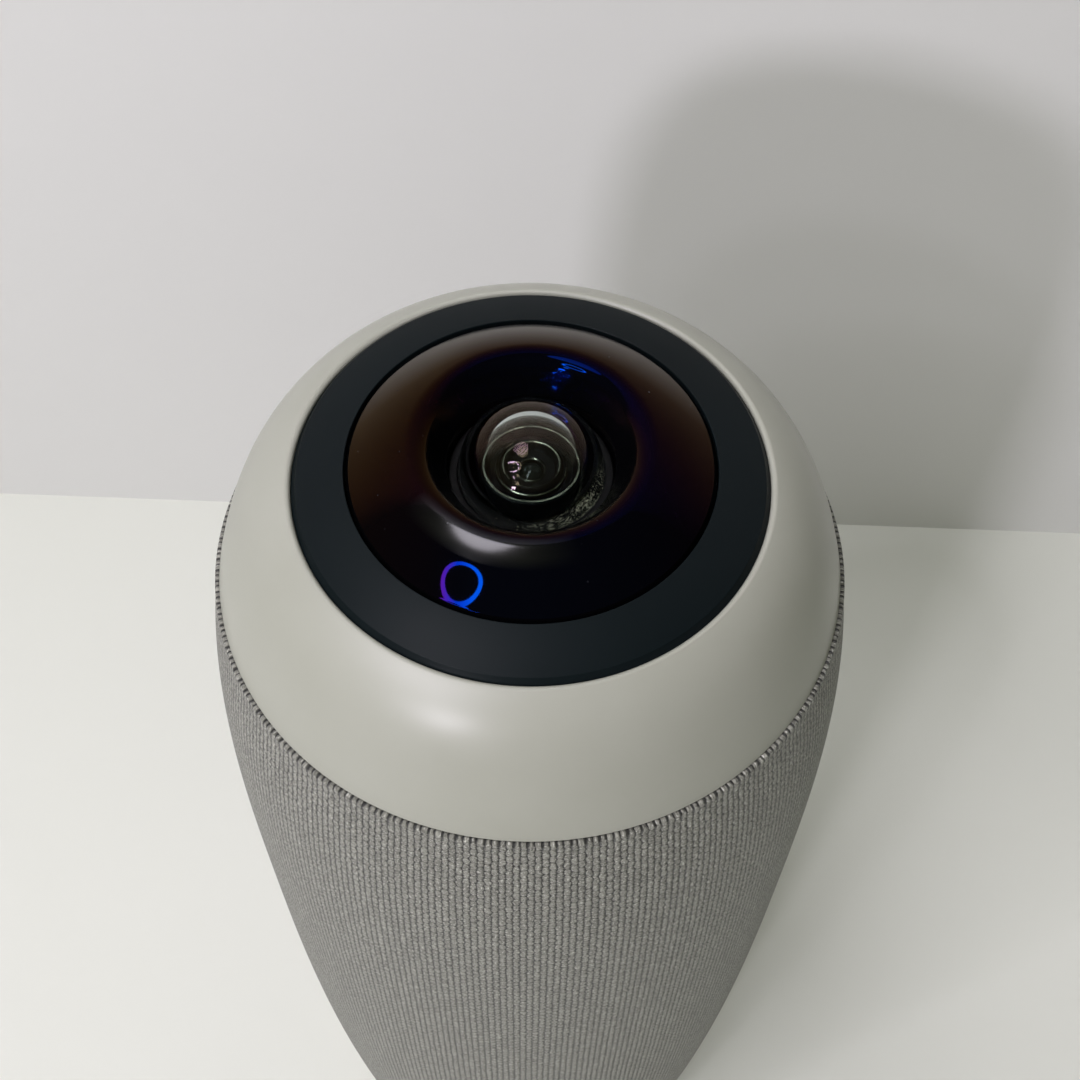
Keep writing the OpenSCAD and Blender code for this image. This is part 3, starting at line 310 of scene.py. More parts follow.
@dataclass(frozen=True)
class HardCoatedGloss(Finish):
    """Acrylic moulded against a polished tool, with an anti-reflection hard coat that
    leaves blue and violet reflections and that works less well aslant. Where cloths
    wipe over the crest's front left, the coat is worn off and the bare acrylic shows.
    A few specks of dust lie on it."""

    colour: str = "#030304"
    roughness: float = 0.03
    bare_roughness: float = 0.14
    ior: float = 1.49
    film_nm: Span = (111.0, 124.0)
    drift_mm: Span = (-14.5, -8.0)
    film_ior: float = 1.24
    grazing: Span = (0.5, 0.84)
    dust: str = "#54585C"
    dust_roughness: float = 0.6
    dust_scale: float = 420.0
    dust_edge: Span = (0.07, 0.04)
    dust_patch_mm: float = 9.0
    dust_patches: Span = (-0.6, 0.6)
    worn: Span = (18.6, 20.0)
    worn_edge: float = 1.6
    worn_towards: float = -109.0
    worn_reach: float = 40.0

    def dusty(self, tree: Tree) -> Socket:
        """Marks the specks of dust.

        Args:
            tree: The material's node tree.

        Returns:
            1 where a speck lies.
        """
        inputs = {"Vector": self.place(tree), "Scale": self.dust_scale}
        speck = add_node(tree, "TexVoronoi", inputs).outputs["Distance"]
        small = ramp(tree, speck, self.dust_edge)
        where = self.spread(
            tree, self.grain(tree, self.dust_patch_mm), *self.dust_patches
        )
        return calc(tree, "MULTIPLY", small, where, clamp=True)

    def bared(self, tree: Tree, across: Socket, along: Socket) -> Socket:
        """Marks where the coat is worn or seen aslant.

        Args:
            tree: The material's node tree.
            across: The place's X.
            along: The place's Y.

        Returns:
            1 where the bare acrylic shows.
        """
        flat = add_node(tree, "CombineXYZ", {"X": across, "Y": along}).outputs[0]
        radius = add_node(
            tree, "VectorMath", {0: flat}, operation="LENGTH"
        ).outputs["Value"]
        low, high = self.worn
        inner = ramp(tree, radius, ((low - self.worn_edge) * MM, low * MM))
        outer = ramp(tree, radius, ((high + self.worn_edge) * MM, high * MM))
        share = calc(tree, "MULTIPLY", inner, outer)
        sector = self.sector(tree, self.worn_towards, self.worn_reach)
        share = calc(tree, "MULTIPLY", share, sector)
        facing = add_node(tree, "LayerWeight", {"Blend": 0.5}).outputs["Facing"]
        return calc(tree, "MAXIMUM", share, ramp(tree, facing, self.grazing))

    def surface(self, tree: Tree) -> Socket:
        """Builds coated black gloss that is worn on the crest's front left.

        Args:
            tree: The material's node tree.

        Returns:
            The shader.
        """
        dusty = self.dusty(tree)
        colour = self.mix(tree, dusty, self.colour, self.dust)
        across, along, _ = add_node(tree, "SeparateXYZ", {0: self.place(tree)}).outputs
        drift = (self.drift_mm[0] * MM, self.drift_mm[1] * MM)
        rough = (self.roughness, self.dust_roughness)
        coated = self.shader(
            tree,
            {
                "Base Color": colour,
                "Roughness": ramp(tree, dusty, (0.0, 1.0), rough),
                "IOR": self.ior,
                "Thin Film Thickness": ramp(tree, across, drift, self.film_nm),
                "Thin Film IOR": self.film_ior,
            },
        )
        bare = self.shader(
            tree,
            {"Base Color": colour, "Roughness": self.bare_roughness, "IOR": self.ior},
        )
        return self.blend(tree, self.bared(tree, across, along), coated, bare)


@dataclass(frozen=True)
class CementWithPaintedReflection(Finish):
    """Clear cement that has crept under the front glass, with a wrinkled relief: black,
    with bright wavy streaks on one side that are a painted reflection, and small bright
    specks round about that are bubbles with painted glints."""

    colour: str = "#050505"
    # Colour of the painted reflection in the streaks and of the painted glints on
    # bubbles.
    bright: str = "#B9B49A"
    roughness: float = 0.2
    towards: float = -38.0
    reach: float = 62.0
    lean: float = 0.7
    stretch: float = 3.2
    wrinkle_scale: float = 620.0
    painted_streak_edge: Span = (0.52, 0.62)
    bubble_scale: float = 900.0
    bubble_edge: Span = (0.16, 0.1)
    bubble_patch_mm: float = 1.6
    bubble_patches: Span = (-0.5, 0.7)
    relief_mm: float = 0.25

    def surface(self, tree: Tree) -> Socket:
        """Builds wrinkled cement with a painted reflection.

        Args:
            tree: The material's node tree.

        Returns:
            The shader.
        """
        place = self.place(tree)
        # The side on which the painted reflection lies.
        reflection_sector = self.sector(tree, self.towards, self.reach)
        turned = {
            "Vector": place,
            "Rotation": (0, 0, self.lean),
            "Scale": (1.0, self.stretch, 1.0),
        }
        waves = {
            "Vector": add_node(tree, "Mapping", turned).outputs["Vector"],
            "Scale": self.wrinkle_scale,
            "Detail": 6.0,
            "Roughness": 0.75,
            "Distortion": 1.6,
        }
        wrinkle_and_reflection = add_node(tree, "TexNoise", waves).outputs["Fac"]
        # Painted reflection: streaks where the stretched noise is high.
        streak = ramp(tree, wrinkle_and_reflection, self.painted_streak_edge)
        cells = {"Vector": place, "Scale": self.bubble_scale}
        # Bubbles, with painted glints.
        bubble_glint = add_node(tree, "TexVoronoi", cells).outputs["Distance"]
        bubble_glint = ramp(tree, bubble_glint, self.bubble_edge)
        where = self.spread(
            tree, self.grain(tree, self.bubble_patch_mm), *self.bubble_patches
        )
        bubble_glint = calc(tree, "MULTIPLY", bubble_glint, where, clamp=True)
        # How much painted reflection and painted glints colour the cement.
        share = calc(tree, "MULTIPLY_ADD", streak, reflection_sector, bubble_glint, clamp=True)
        return self.shader(
            tree,
            {
                "Base Color": self.mix(tree, share, self.colour, self.bright),
                "Roughness": self.roughness,
                "Normal": self.bump(tree, wrinkle_and_reflection, self.relief_mm),
            },
        )


@dataclass(frozen=True)
class OpticalGlass(Finish):
    """Ground and polished optical glass with a coating. Shadow rays pass it, so what
    lies under it is lit."""

    tint: str = "#F4F8F6"
    ior: float = 1.52
    film_nm: float = 100.0
    film_ior: float = 1.33

    def surface(self, tree: Tree) -> Socket:
        """Builds clear coated glass.

        Args:
            tree: The material's node tree.

        Returns:
            The shader.
        """
        glass = self.shader(
            tree,
            {
                "Base Color": linear(self.tint),
                "Roughness": 0.0,
                "IOR": self.ior,
                "Transmission Weight": 1.0,
                "Thin Film Thickness": self.film_nm,
                "Thin Film IOR": self.film_ior,
            },
        )
        clear = add_node(tree, "BsdfTransparent", {"Color": linear(self.tint)})
        shaded = add_node(tree, "LightPath").outputs["Is Shadow Ray"]
        return self.blend(tree, shaded, glass, clear.outputs["BSDF"])


@dataclass(frozen=True)
class AnodisedAluminium(Finish):
    """Turned aluminium, anodised dull black, with fine turning marks."""

    colour: str = "#060607"
    worn: str = "#0C0C0D"
    roughness: float = 0.45
    uneven: Span = (-0.1, 0.15)
    specular: float = 0.12
    mark_mm: float = 0.12
    mark_depth: float = 0.003
    wear_mm: float = 0.6
    wear: Span = (-0.3, 0.8)

    def surface(self, tree: Tree) -> Socket:
        """Builds turned, anodised metal.

        Args:
            tree: The material's node tree.

        Returns:
            The shader.
        """
        rings = {
            "Vector": self.place(tree),
            "Scale": 0.1 / (self.mark_mm * MM),
            "Distortion": 0.4,
            "Detail": 2.0,
        }
        marks = add_node(
            tree, "TexWave", rings, wave_type="RINGS", rings_direction="Z"
        ).outputs["Fac"]
        wear = self.grain(tree, self.wear_mm, 6.0)
        low, high = (self.roughness + change for change in self.uneven)
        share = self.spread(tree, wear, *self.wear)
        return self.shader(
            tree,
            {
                "Base Color": self.mix(tree, share, self.colour, self.worn),
                "Specular IOR Level": self.specular,
                "Roughness": self.spread(tree, wear, low, high),
                "Normal": self.bump(tree, marks, self.mark_depth),
            },
        )


@dataclass(frozen=True)
class KnitYarn(Finish):
    """Melange polyester yarn in a fine tuck knit: upright stitches side by side, each
    column half a stitch higher than its neighbours. The dark gaps between the columns
    are painted: the dark inside seen through the knit, and shade. Along the fold the
    loops of every second column stand open, painted dark as shade in the holes; small
    dark pits are painted shade, and small pale specks are painted glints."""

    light: str = "#A6A69A"
    dark: str = "#66665C"
    # Painted colour of the gaps: the dark inside seen through the knit, and shade.
    gap: str = "#1C1C18"
    # Painted glints: the pale colour of fibres that catch the light.
    glint_fibre: str = "#E4E4DA"
    columns: int = 304
    rows: float = 116.0
    relief_mm: float = 0.42
    wander_scale: Span = (150.0, 210.0)
    wander: Span = (0.7, 0.9)
    side_gap: float = 2.05
    end_gap: float = 0.72
    thread_scale: Span = (1.6, 4.5)
    thread_relief: float = 0.28
    melange: float = 0.35
    # Painted shade in the open loops along the fold.
    open_rows: float = 0.8
    open_from: float = 0.38
    open_loop_shade: float = 0.7
    gap_shade_edge: float = 1.2
    fibre_scale: Span = (3.0, 6.0)
    # Painted glints where the fibres' noise is high.
    painted_glint: Span = (0.57, 0.66)
    painted_glint_share: float = 0.7
    # Painted shade in small pits among the fibres.
    pit_shade: Span = (0.4, 0.3)
    pit_shade_depth: float = 0.6
    gloss: Span = (0.75, 0.35)

    def stitches(self, tree: Tree) -> tuple[Socket, Socket]:
        """Lays the stitches out on the sleeve's own UV map, a little unevenly.

        Args:
            tree: The material's node tree.

        Returns:
            The place in columns, and the place in rows with every second column half
            a stitch on.
        """
        place = add_node(tree, "UVMap", uv_map="Knit").outputs["UV"]
        rise, shift = (
            calc(
                tree,
                "SUBTRACT",
                add_node(
                    tree, "TexNoise", {"Vector": place, "Scale": scale, "Detail": 3.0}
                ).outputs["Fac"],
                0.5,
            )
            for scale in self.wander_scale
        )
        across, along, _ = add_node(tree, "SeparateXYZ", {0: place}).outputs
        across = calc(tree, "MULTIPLY", across, self.columns)
        across = calc(tree, "MULTIPLY_ADD", shift, self.wander[0], across)
        along = calc(tree, "MULTIPLY", along, self.rows)
        along = calc(tree, "MULTIPLY_ADD", rise, self.wander[1], along)
        odd = calc(tree, "MODULO", calc(tree, "FLOOR", across), 2.0)
        return across, calc(tree, "MULTIPLY_ADD", odd, 0.5, along)

    @staticmethod
    def off_middle(tree: Tree, value: Socket) -> Socket:
        """Returns how far a value is from the middle between two whole numbers."""
        part = calc(tree, "FRACT", value)
        return calc(tree, "ABSOLUTE", calc(tree, "SUBTRACT", part, 0.5))

    def noise(
        self,
        tree: Tree,
        across: Socket,
        along: Socket,
        scale: Span,
        more: dict,
        chance: Socket | float = 0.0,
    ) -> Socket:
        """Makes noise that runs with the stitches.

        Args:
            tree: The material's node tree.
            across: The place in columns.
            along: The place in rows.
            scale: How fast it changes across and along.
            more: The noise's other inputs.
            chance: What sets one stitch's noise apart from the next one's.

        Returns:
            The noise.
        """
        at = {
            "X": calc(tree, "MULTIPLY", across, scale[0]),
            "Y": calc(tree, "MULTIPLY", along, scale[1]),
            "Z": chance,
        }
        vector = add_node(tree, "CombineXYZ", at).outputs["Vector"]
        return add_node(tree, "TexNoise", {"Vector": vector, **more}).outputs["Fac"]

    def unshaded(
        self, tree: Tree, across: Socket, along: Socket, stitch: Socket, glint_fibre: Socket
    ) -> Socket:
        """Works out how little of the painted gap shade shows.

        Args:
            tree: The material's node tree.
            across: The place in columns.
            along: The place in rows.
            stitch: The stitch's round height.
            glint_fibre: The noise of single fibres.

        Returns:
            0 in a gap and 1 on the yarn.
        """
        loop = self.off_middle(tree, calc(tree, "MULTIPLY", across, 0.5))
        # Open loops along the fold, painted dark as shade.
        hole = calc(
            tree,
            "MULTIPLY",
            calc(tree, "LESS_THAN", along, self.open_rows),
            calc(tree, "GREATER_THAN", loop, self.open_from),
        )
        hole = calc(tree, "MULTIPLY", hole, self.open_loop_shade)
        # The yarn fades into the painted gap shade where the stitch curves away.
        yarn = calc(tree, "MULTIPLY", stitch, self.gap_shade_edge, clamp=True)
        yarn = calc(tree, "MULTIPLY", yarn, calc(tree, "SUBTRACT", 1.0, hole))
        # Painted shade in small pits.
        pit_shade = ramp(tree, glint_fibre, self.pit_shade)
        pit_shade = calc(tree, "MULTIPLY_ADD", pit_shade, -self.pit_shade_depth, 1.0)
        return calc(tree, "MULTIPLY", yarn, pit_shade)

    def surface(self, tree: Tree) -> Socket:
        """Builds the knit, one unit per stitch.

        Args:
            tree: The material's node tree.

        Returns:
            The shader.
        """
        across, along = self.stitches(tree)
        side = calc(tree, "MULTIPLY", self.off_middle(tree, across), self.side_gap)
        end = calc(tree, "MULTIPLY", self.off_middle(tree, along), 2.0)
        side, end = calc(tree, "POWER", side, 2.0), calc(tree, "POWER", end, 4.0)
        far = calc(tree, "MULTIPLY_ADD", end, self.end_gap, side)
        stitch = calc(tree, "SQRT", calc(tree, "SUBTRACT", 1.0, far, clamp=True))
        cell = {"X": calc(tree, "FLOOR", across), "Y": calc(tree, "FLOOR", along)}
        cell = add_node(tree, "CombineXYZ", cell).outputs["Vector"]
        chance = add_node(tree, "TexWhiteNoise", {"Vector": cell}).outputs["Value"]
        threads = self.noise(
            tree,
            across,
            along,
            self.thread_scale,
            {"Scale": 1.5, "Detail": 4.0, "Roughness": 0.65},
            calc(tree, "MULTIPLY", chance, 9.0),
        )
        glint_fibre = self.noise(
            tree, across, along, self.fibre_scale, {"Scale": 1.0, "Detail": 2.0}
        )
        ridges = self.spread(tree, threads, -self.thread_relief, self.thread_relief)
        height = calc(tree, "MULTIPLY_ADD", ridges, stitch, stitch)
        tone = calc(
            tree,
            "MULTIPLY_ADD",
            calc(tree, "SUBTRACT", chance, 0.5),
            self.melange,
            self.spread(tree, threads, 0.0, 1.0),
            clamp=True,
        )
        # Painted glints: pale specks on the yarn.
        painted_glint = calc(
            tree, "MULTIPLY", ramp(tree, glint_fibre, self.painted_glint), self.painted_glint_share
        )
        yarn = self.mix(tree, tone, self.dark, self.light)
        # The pale glints are painted into the yarn's colour.
        yarn = self.mix(tree, painted_glint, yarn, self.glint_fibre)
        unshaded = self.unshaded(tree, across, along, stitch, glint_fibre)
        return self.shader(
            tree,
            {
                # Painted gap shade under the yarn's colour.
                "Base Color": self.mix(tree, unshaded, self.gap, yarn),
                "Roughness": self.spread(tree, threads, *self.gloss),
                "Sheen Weight": 0.15,
                "Sheen Roughness": 0.5,
                "Normal": self.bump(tree, height, self.relief_mm),
            },
        )


@dataclass(frozen=True)
class Rubber(Finish):
    """Moulded silicone or foam rubber: matte, faintly pebbled, with traces of dust."""

    colour: str = "#222222"
    dusty: str = "#3A3A39"
    grain_mm: float = 0.5
    grain_depth: float = 0.02
    dust_mm: float = 7.0
    dust: Span = (-0.4, 1.0)
    roughness: float = 0.78

    def surface(self, tree: Tree) -> Socket:
        """Builds matte rubber.

        Args:
            tree: The material's node tree.

        Returns:
            The shader.
        """
        grain = self.grain(tree, self.grain_mm)
        dust = self.spread(tree, self.grain(tree, self.dust_mm, 6.0), *self.dust)
        return self.shader(
            tree,
            {
                "Base Color": self.mix(tree, dust, self.colour, self.dusty),
                "Roughness": self.roughness,
                "Normal": self.bump(tree, grain, self.grain_depth),
            },
        )


@dataclass(frozen=True)
class WorkedMetal(Finish):
    """Bare or plated metal with the marks of its making: brushed, turned or rolled."""

    colour: str = "#A8AAAC"
    stain: str = "#8E9092"
    roughness: float = 0.3
    uneven: Span = (-0.06, 0.1)
    streak: Place = (1.0, 1.0, 12.0)
    streak_mm: float = 1.2
    streak_depth: float = 0.006

    def surface(self, tree: Tree) -> Socket:
        """Builds streaked metal.

        Args:
            tree: The material's node tree.

        Returns:
            The shader.
        """
        drawn = {"Vector": self.place(tree), "Scale": self.streak}
        lines = {
            "Vector": add_node(tree, "Mapping", drawn).outputs["Vector"],
            "Scale": 0.5 / (self.streak_mm * MM),
            "Detail": 4.0,
        }
        marks = add_node(tree, "TexNoise", lines).outputs["Fac"]
        low, high = (self.roughness + change for change in self.uneven)
        share = self.spread(tree, marks, 0, 1)
        return self.shader(
            tree,
            {
                "Base Color": self.mix(tree, share, self.stain, self.colour),
                "Metallic": 1.0,
                "Roughness": self.spread(tree, marks, low, high),
                "Normal": self.bump(tree, marks, self.streak_depth),
            },
        )


@dataclass(frozen=True)
class BoardLaminate(Finish):
    """Glass-fibre laminate under solder mask: semi-gloss, with copper traces that show
    through as lighter lines."""

    colour: str = "#12442A"
    trace: str = "#1F6B42"
    trace_scale: float = 700.0
    trace_edge: Span = (0.35, 0.45)
    trace_depth: float = 0.03
    roughness: float = 0.35

    def surface(self, tree: Tree) -> Socket:
        """Builds a printed board.

        Args:
            tree: The material's node tree.

        Returns:
            The shader.
        """
        cells = {"Vector": self.place(tree), "Scale": self.trace_scale}
        off = add_node(
            tree, "TexVoronoi", cells, distance="CHEBYCHEV", feature="F1"
        ).outputs["Distance"]
        lines = ramp(tree, off, self.trace_edge)
        return self.shader(
            tree,
            {
                "Base Color": self.mix(tree, lines, self.colour, self.trace),
                "Roughness": self.roughness,
                "Normal": self.bump(tree, lines, self.trace_depth),
            },
        )


@dataclass(frozen=True)
class PaleSurface(Finish):
    """Matte paint or laminate of the studio's table and wall. A wall's back isn't
    seen, so that a camera behind it looks through it."""

    colour: str = "#E9EAE6"
    see_through_back: bool = False
    uneven_mm: float = 60.0
    roughness: Span = (0.5, 0.6)
    specular: float = 0.25

    def surface(self, tree: Tree) -> Socket:
        """Builds a faintly uneven matte surface.

        Args:
            tree: The material's node tree.

        Returns:
            The shader.
        """
        uneven = self.grain(tree, self.uneven_mm)
        paint = self.shader(
            tree,
            {
                "Base Color": linear(self.colour),
                "Roughness": self.spread(tree, uneven, *self.roughness),
                "Specular IOR Level": self.specular,
            },
        )
        if not self.see_through_back:
            return paint
        back = add_node(tree, "NewGeometry").outputs["Backfacing"]
        clear = add_node(tree, "BsdfTransparent").outputs["BSDF"]
        return self.blend(tree, back, paint, clear)


CAP_PLASTIC = MouldedPlastic("moulded_abs_pale_grey", "#A2A398", "#9C9D91", 0.34)
KEY_PLASTIC = MouldedPlastic("moulded_abs_keys", "#A9AA9E", "#A3A497", 0.45)
BEZEL_PLASTIC = MouldedPlastic(
    "moulded_polycarbonate_charcoal",
    "#0F1618",
    "#0C1214",
    roughness=0.34,
    grain_mm=0.22,
    grain_depth=0.002,
    smudge_mm=20.0,
    specular=0.08,
)
INNER_PLASTIC = MouldedPlastic(
    "moulded_abs_dark_grey", "#3A3B3D", "#343537", 0.5, 0.4, 0.01
)
BLACK_PLASTIC = MouldedPlastic("moulded_nylon_black", "#151516", "#101011", 0.5)
DIFFUSER = MouldedPlastic("moulded_acrylic_white", "#EDF0EE", "#E6EAE8", 0.4)
RESIN = MouldedPlastic("cast_resin_pale", "#EFEBCF", "#E7E2C4", 0.25)
CHIP_RESIN = MouldedPlastic("transfer_moulded_epoxy", "#232325", "#1E1E20", 0.55)
SWITCH_PLASTIC = MouldedPlastic("moulded_switch_nylon", "#55585B", "#4E5154", 0.5)
FILM = MouldedPlastic("polyimide_film", "#B06A22", "#9A5A1B", 0.22, 0.8, 0.002)
SHROUD_GLOSS = HardCoatedGloss("hard_coated_acrylic_black")
FRONT_GLASS = OpticalGlass("polished_front_glass", "#C4CDC9")
INNER_GLASS = OpticalGlass("coated_inner_glass", "#C9DCD2", 1.6, 118.0, 1.26)
CEMENT = CementWithPaintedReflection("cement_with_painted_reflection")
BARE_EDGE = WorkedMetal("bare_aluminium_edge", "#D8D6C4", "#77756A", 0.22)
PUPIL = MouldedPlastic("coated_rear_element", "#0B1512", "#081110", 0.05, 0.5, 0.0)
LENS_METAL = AnodisedAluminium("black_anodised_aluminium")
KNIT = KnitYarn("melange_tuck_knit")
FOAM = Rubber("foam_rubber", "#171717", "#202020", 0.8)
RUBBER = Rubber("silicone_rubber")
STEEL = WorkedMetal("zinc_plated_steel", "#A9ABAD", "#8F9294", 0.32)
ALUMINIUM = WorkedMetal("extruded_aluminium", "#B4B7BA", "#A2A5A8", 0.38)
BRASS = WorkedMetal("turned_brass", "#C7A566", "#A98A50", 0.28)
CERAMIC = MouldedPlastic("sintered_ferrite", "#3B3B3F", "#333337", 0.6, 0.5, 0.02)
CLOTH_DISC = MouldedPlastic(
    "resin_stiffened_cloth", "#B48A4A", "#A07A40", 0.8, 0.6, 0.05
)
PULP = MouldedPlastic("coated_paper_pulp", "#2E2E32", "#262629", 0.75, 0.7, 0.04)
POWDER_COAT = MouldedPlastic(
    "powder_coated_steel", "#3C3D40", "#343538", 0.5, 0.6, 0.02
)
MASK = BoardLaminate("green_solder_mask")
BLUE_MASK = BoardLaminate("blue_solder_mask", "#123A52", "#1E5878")
TABLE_TOP = PaleSurface("white_laminate_table", "#E0E2D9")
WALL_PAINT = PaleSurface("white_wall_paint", "#DEDEDC", True)

SLOT_FINISH: dict[str, Finish] = {
    "cap_plastic": CAP_PLASTIC,
    "base_plastic": CAP_PLASTIC,
    "key_plastic": KEY_PLASTIC,
    "bezel_plastic": BEZEL_PLASTIC,
    "shroud_plastic": SHROUD_GLOSS,
    "gasket_foam": FOAM,
    "front_glass": FRONT_GLASS,
    "inner_glass": INNER_GLASS,
    "lens_metal": LENS_METAL,
    "mount_plastic": BLACK_PLASTIC,
    "sensor_ceramic": CERAMIC,
    "board_laminate": MASK,
    "amplifier_laminate": BLUE_MASK,
    "flex_film": FILM,
    "steel": STEEL,
    "mic_metal": BRASS,
    "light_diffuser": DIFFUSER,
    "led_resin": RESIN,
    "knit": KNIT,
    "frame_plastic": INNER_PLASTIC,
    "chip_resin": CHIP_RESIN,
    "sink_aluminium": ALUMINIUM,
    "capacitor_sleeve": CHIP_RESIN,
    "ferrite": CERAMIC,
    "spider_cloth": CLOTH_DISC,
    "surround_rubber": RUBBER,
    "cone_paper": PULP,
    "plate_metal": POWDER_COAT,
    "foot_rubber": RUBBER,
    "insert_brass": BRASS,
    "switch_housing": SWITCH_PLASTIC,
    "plunger_plastic": BLACK_PLASTIC,
}


def arc(
    centre: Point, radius: float, start: float, end: float, steps: int = 8
) -> list[Point]:
    """Lists points on an arc in an outline.

    Args:
        centre: Radius and height of the arc's centre.
        radius: Radius of the arc.
        start: First angle in degrees, 0 outwards and 90 upwards.
        end: Last angle in degrees.
        steps: Number of steps.

    Returns:
        The points, both ends included.
    """
    angles = [math.radians(start + (end - start) * i / steps) for i in range(steps + 1)]
    return [
        (centre[0] + radius * math.cos(a), centre[1] + radius * math.sin(a))
        for a in angles
    ]


def between(start: float, end: float, steps: int) -> list[float]:
    """Lists evenly spaced numbers, both ends included."""
    return [start + (end - start) * i / steps for i in range(steps + 1)]


def spun(outline: list[Point], steps: int = 192) -> bmesh.types.BMesh:
    """Spins a closed outline round the upright axis.

    Args:
        outline: Radius and height of each corner in millimetres, in order.
        steps: Steps of the full turn.

    Returns:
        A closed mesh in metres.
    """
    mesh = bmesh.new()
    corners = [mesh.verts.new((r * MM, 0, z * MM)) for r, z in outline]
    edges = [
        mesh.edges.new(pair) for pair in zip(corners, corners[1:] + corners[:1])
    ]
    bmesh.ops.spin(
        mesh,
        geom=corners + edges,
        cent=(0, 0, 0),
        axis=(0, 0, 1),
        angle=TURN,
        steps=steps,
        use_merge=True,
    )
    bmesh.ops.remove_doubles(mesh, verts=mesh.verts, dist=1e-7)
    bmesh.ops.dissolve_degenerate(mesh, edges=mesh.edges, dist=1e-8)
    bmesh.ops.recalc_face_normals(mesh, faces=mesh.faces)
    return mesh


def placed(
    name: str,
    mesh: bmesh.types.BMesh,
    finish: Finish,
    replaces: tuple[str, ...] = (),
    crease: float = 35.0,
    edges: tuple[Finish, tuple[Span, ...]] | None = None,
    underside: tuple[Finish, float] | None = None,
) -> bpy.types.Object:
    """Makes a finished object of a mesh and gives it its body, slot and finish.

    Args:
        name: The piece's name.
        mesh: The mesh, in metres and in place. It is freed.
        finish: What the piece is made of.
        replaces: CAD nodes that it stands for.
        crease: Angle in degrees from which an edge stays sharp.
        edges: Another finish, and the spans of radius in which faces have it.
        underside: Another finish, and the height below which faces have it.

    Returns:
        The object, at the origin.
    """
    data = bpy.data.meshes.new(name)
    mesh.to_mesh(data)
    mesh.free()
    data.shade_smooth()
    data.set_sharp_from_angle(angle=math.radians(crease))
    data.materials.append(finish.material())
    if edges:
        data.materials.append(edges[0].material())
        for face in data.polygons:
            radius = face.center.xy.length / MM
            if any(low < radius < high for low, high in edges[1]):
                face.material_index = 1
    if underside:
        data.materials.append(underside[0].material())
        for face in data.polygons:
            if face.center.z < underside[1] * MM:
                face.material_index = 1
    piece = bpy.data.objects.new(name, data)
    bpy.context.scene.collection.objects.link(piece)
    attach(piece, MAIN_BODY)
    if replaces:
        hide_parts(*replaces)
    LOG.info("%s: %d faces", name, len(data.polygons))
    return piece


@dataclass(frozen=True)
class BodyForm:
    """The body's outline, as in the CAD source, and the heights that pieces share. The
    seam is where the photograph shows it, a little under the solids' seam."""

    radius: float = 55.5
    base_radius: float = 48.5
    widest: float = 146.0
    base_height: float = 22.0
    seam: float = 239.95
    crown: float = 263.7
    shoulder_power: float = 3.6
    shoulder_round: float = 6.0
    taper_power: float = 2.2

    def radius_at(self, height: float, inset: float = 0.0) -> float:
        """Works out the body's radius at a height.

        Args:
            height: The height.
            inset: How far inside the body's surface.

        Returns:
            The radius.
        """
        if height > self.widest:
            share = (height - self.widest) / (self.crown - inset - self.widest)
            return (self.radius - inset) * (1 - share**self.shoulder_power) ** (
                1 / self.shoulder_round
            )
        share = (self.widest - height) / self.widest
        drop = (self.radius - self.base_radius) * share**self.taper_power
        return self.radius - inset - drop

    def height_at(self, radius: float) -> float:
        """Works out the height at which the shoulder has a radius.

        Args:
            radius: The radius.

        Returns:
            The height.
        """
        share = (1 - (radius / self.radius) ** self.shoulder_round) ** (
            1 / self.shoulder_power
        )
        return self.widest + (self.crown - self.widest) * share


@dataclass
class TopCap:
    """The pale cap with its rounded lip round the bezel. Its skin reaches down over
    the fold of the sleeve, and its spigot into the acoustic frame."""

    form: BodyForm
    hole: float = 36.05
    wall: float = 2.4
    lip: float = 0.7
    lip_turn: float = 57.0
    lift: float = 0.95
    shelf: float = 259.2
    shelf_thickness: float = 2.5
    shelf_inner: float = 22.0
    spigot: float = 46.3
    spigot_low: float = 236.9
    spigot_wall: float = 2.0
    frame_top: float = 241.35
    skirt: float = 0.65
    fold_out: float = 0.3
    edge: float = 0.2
    edge_turn: Span = (-70.0, -10.0)
    seam_gap: float = 0.05
    outer_steps: int = 72

    def outline(self) -> list[Point]:
        """Lists the cap's section, from its lower outer edge over the lip.

        Returns:
            The section's corners.
        """
        form = self.form
        turn = math.radians(self.lip_turn)
        lip_out = self.hole + self.lip * (1 + math.cos(turn))
        foot = form.radius_at(form.seam) - self.fold_out

        def height(r: float) -> float:
            """Returns the cap's height at a radius."""
            share = (r - lip_out) / (foot - lip_out)
            raised = self.lift * (1 - share**2)
            return form.height_at(r + self.fold_out * share) + raised

        outside = [(r, height(r)) for r in between(foot, lip_out, self.outer_steps)]
        low = form.seam + self.seam_gap
        corner = [(foot - self.edge, low)] + arc(
            (foot - self.edge, low + self.edge), self.edge, *self.edge_turn, 4
        )
        lip_mid = height(lip_out) - self.lip * math.sin(turn)
        ceiling = self.shelf - self.shelf_thickness
        inner_low = self.frame_top + self.wall
        inner = [
            (form.radius_at(z, self.wall), z) for z in between(ceiling, inner_low, 10)
        ]
        spigot_inner = self.spigot - self.spigot_wall
        return (
            corner
            + [p for p in outside if p[1] > low + self.edge]
            + arc((self.hole + self.lip, lip_mid), self.lip, self.lip_turn, 180, 10)[1:]
            + [(self.hole, self.shelf), (self.shelf_inner, self.shelf)]
            + [(self.shelf_inner, ceiling)]
            + inner
            + [(spigot_inner, inner_low), (spigot_inner, self.spigot_low)]
            + [(self.spigot, self.spigot_low), (self.spigot, self.frame_top)]
            + [(foot - self.skirt, self.frame_top), (foot - self.skirt, low)]
        )

    def build(self) -> None:
        """Makes the cap."""
        placed(
            "cap_shell",
            spun(self.outline(), 256),
            CAP_PLASTIC,
            replaces=("top_cap",),
        )


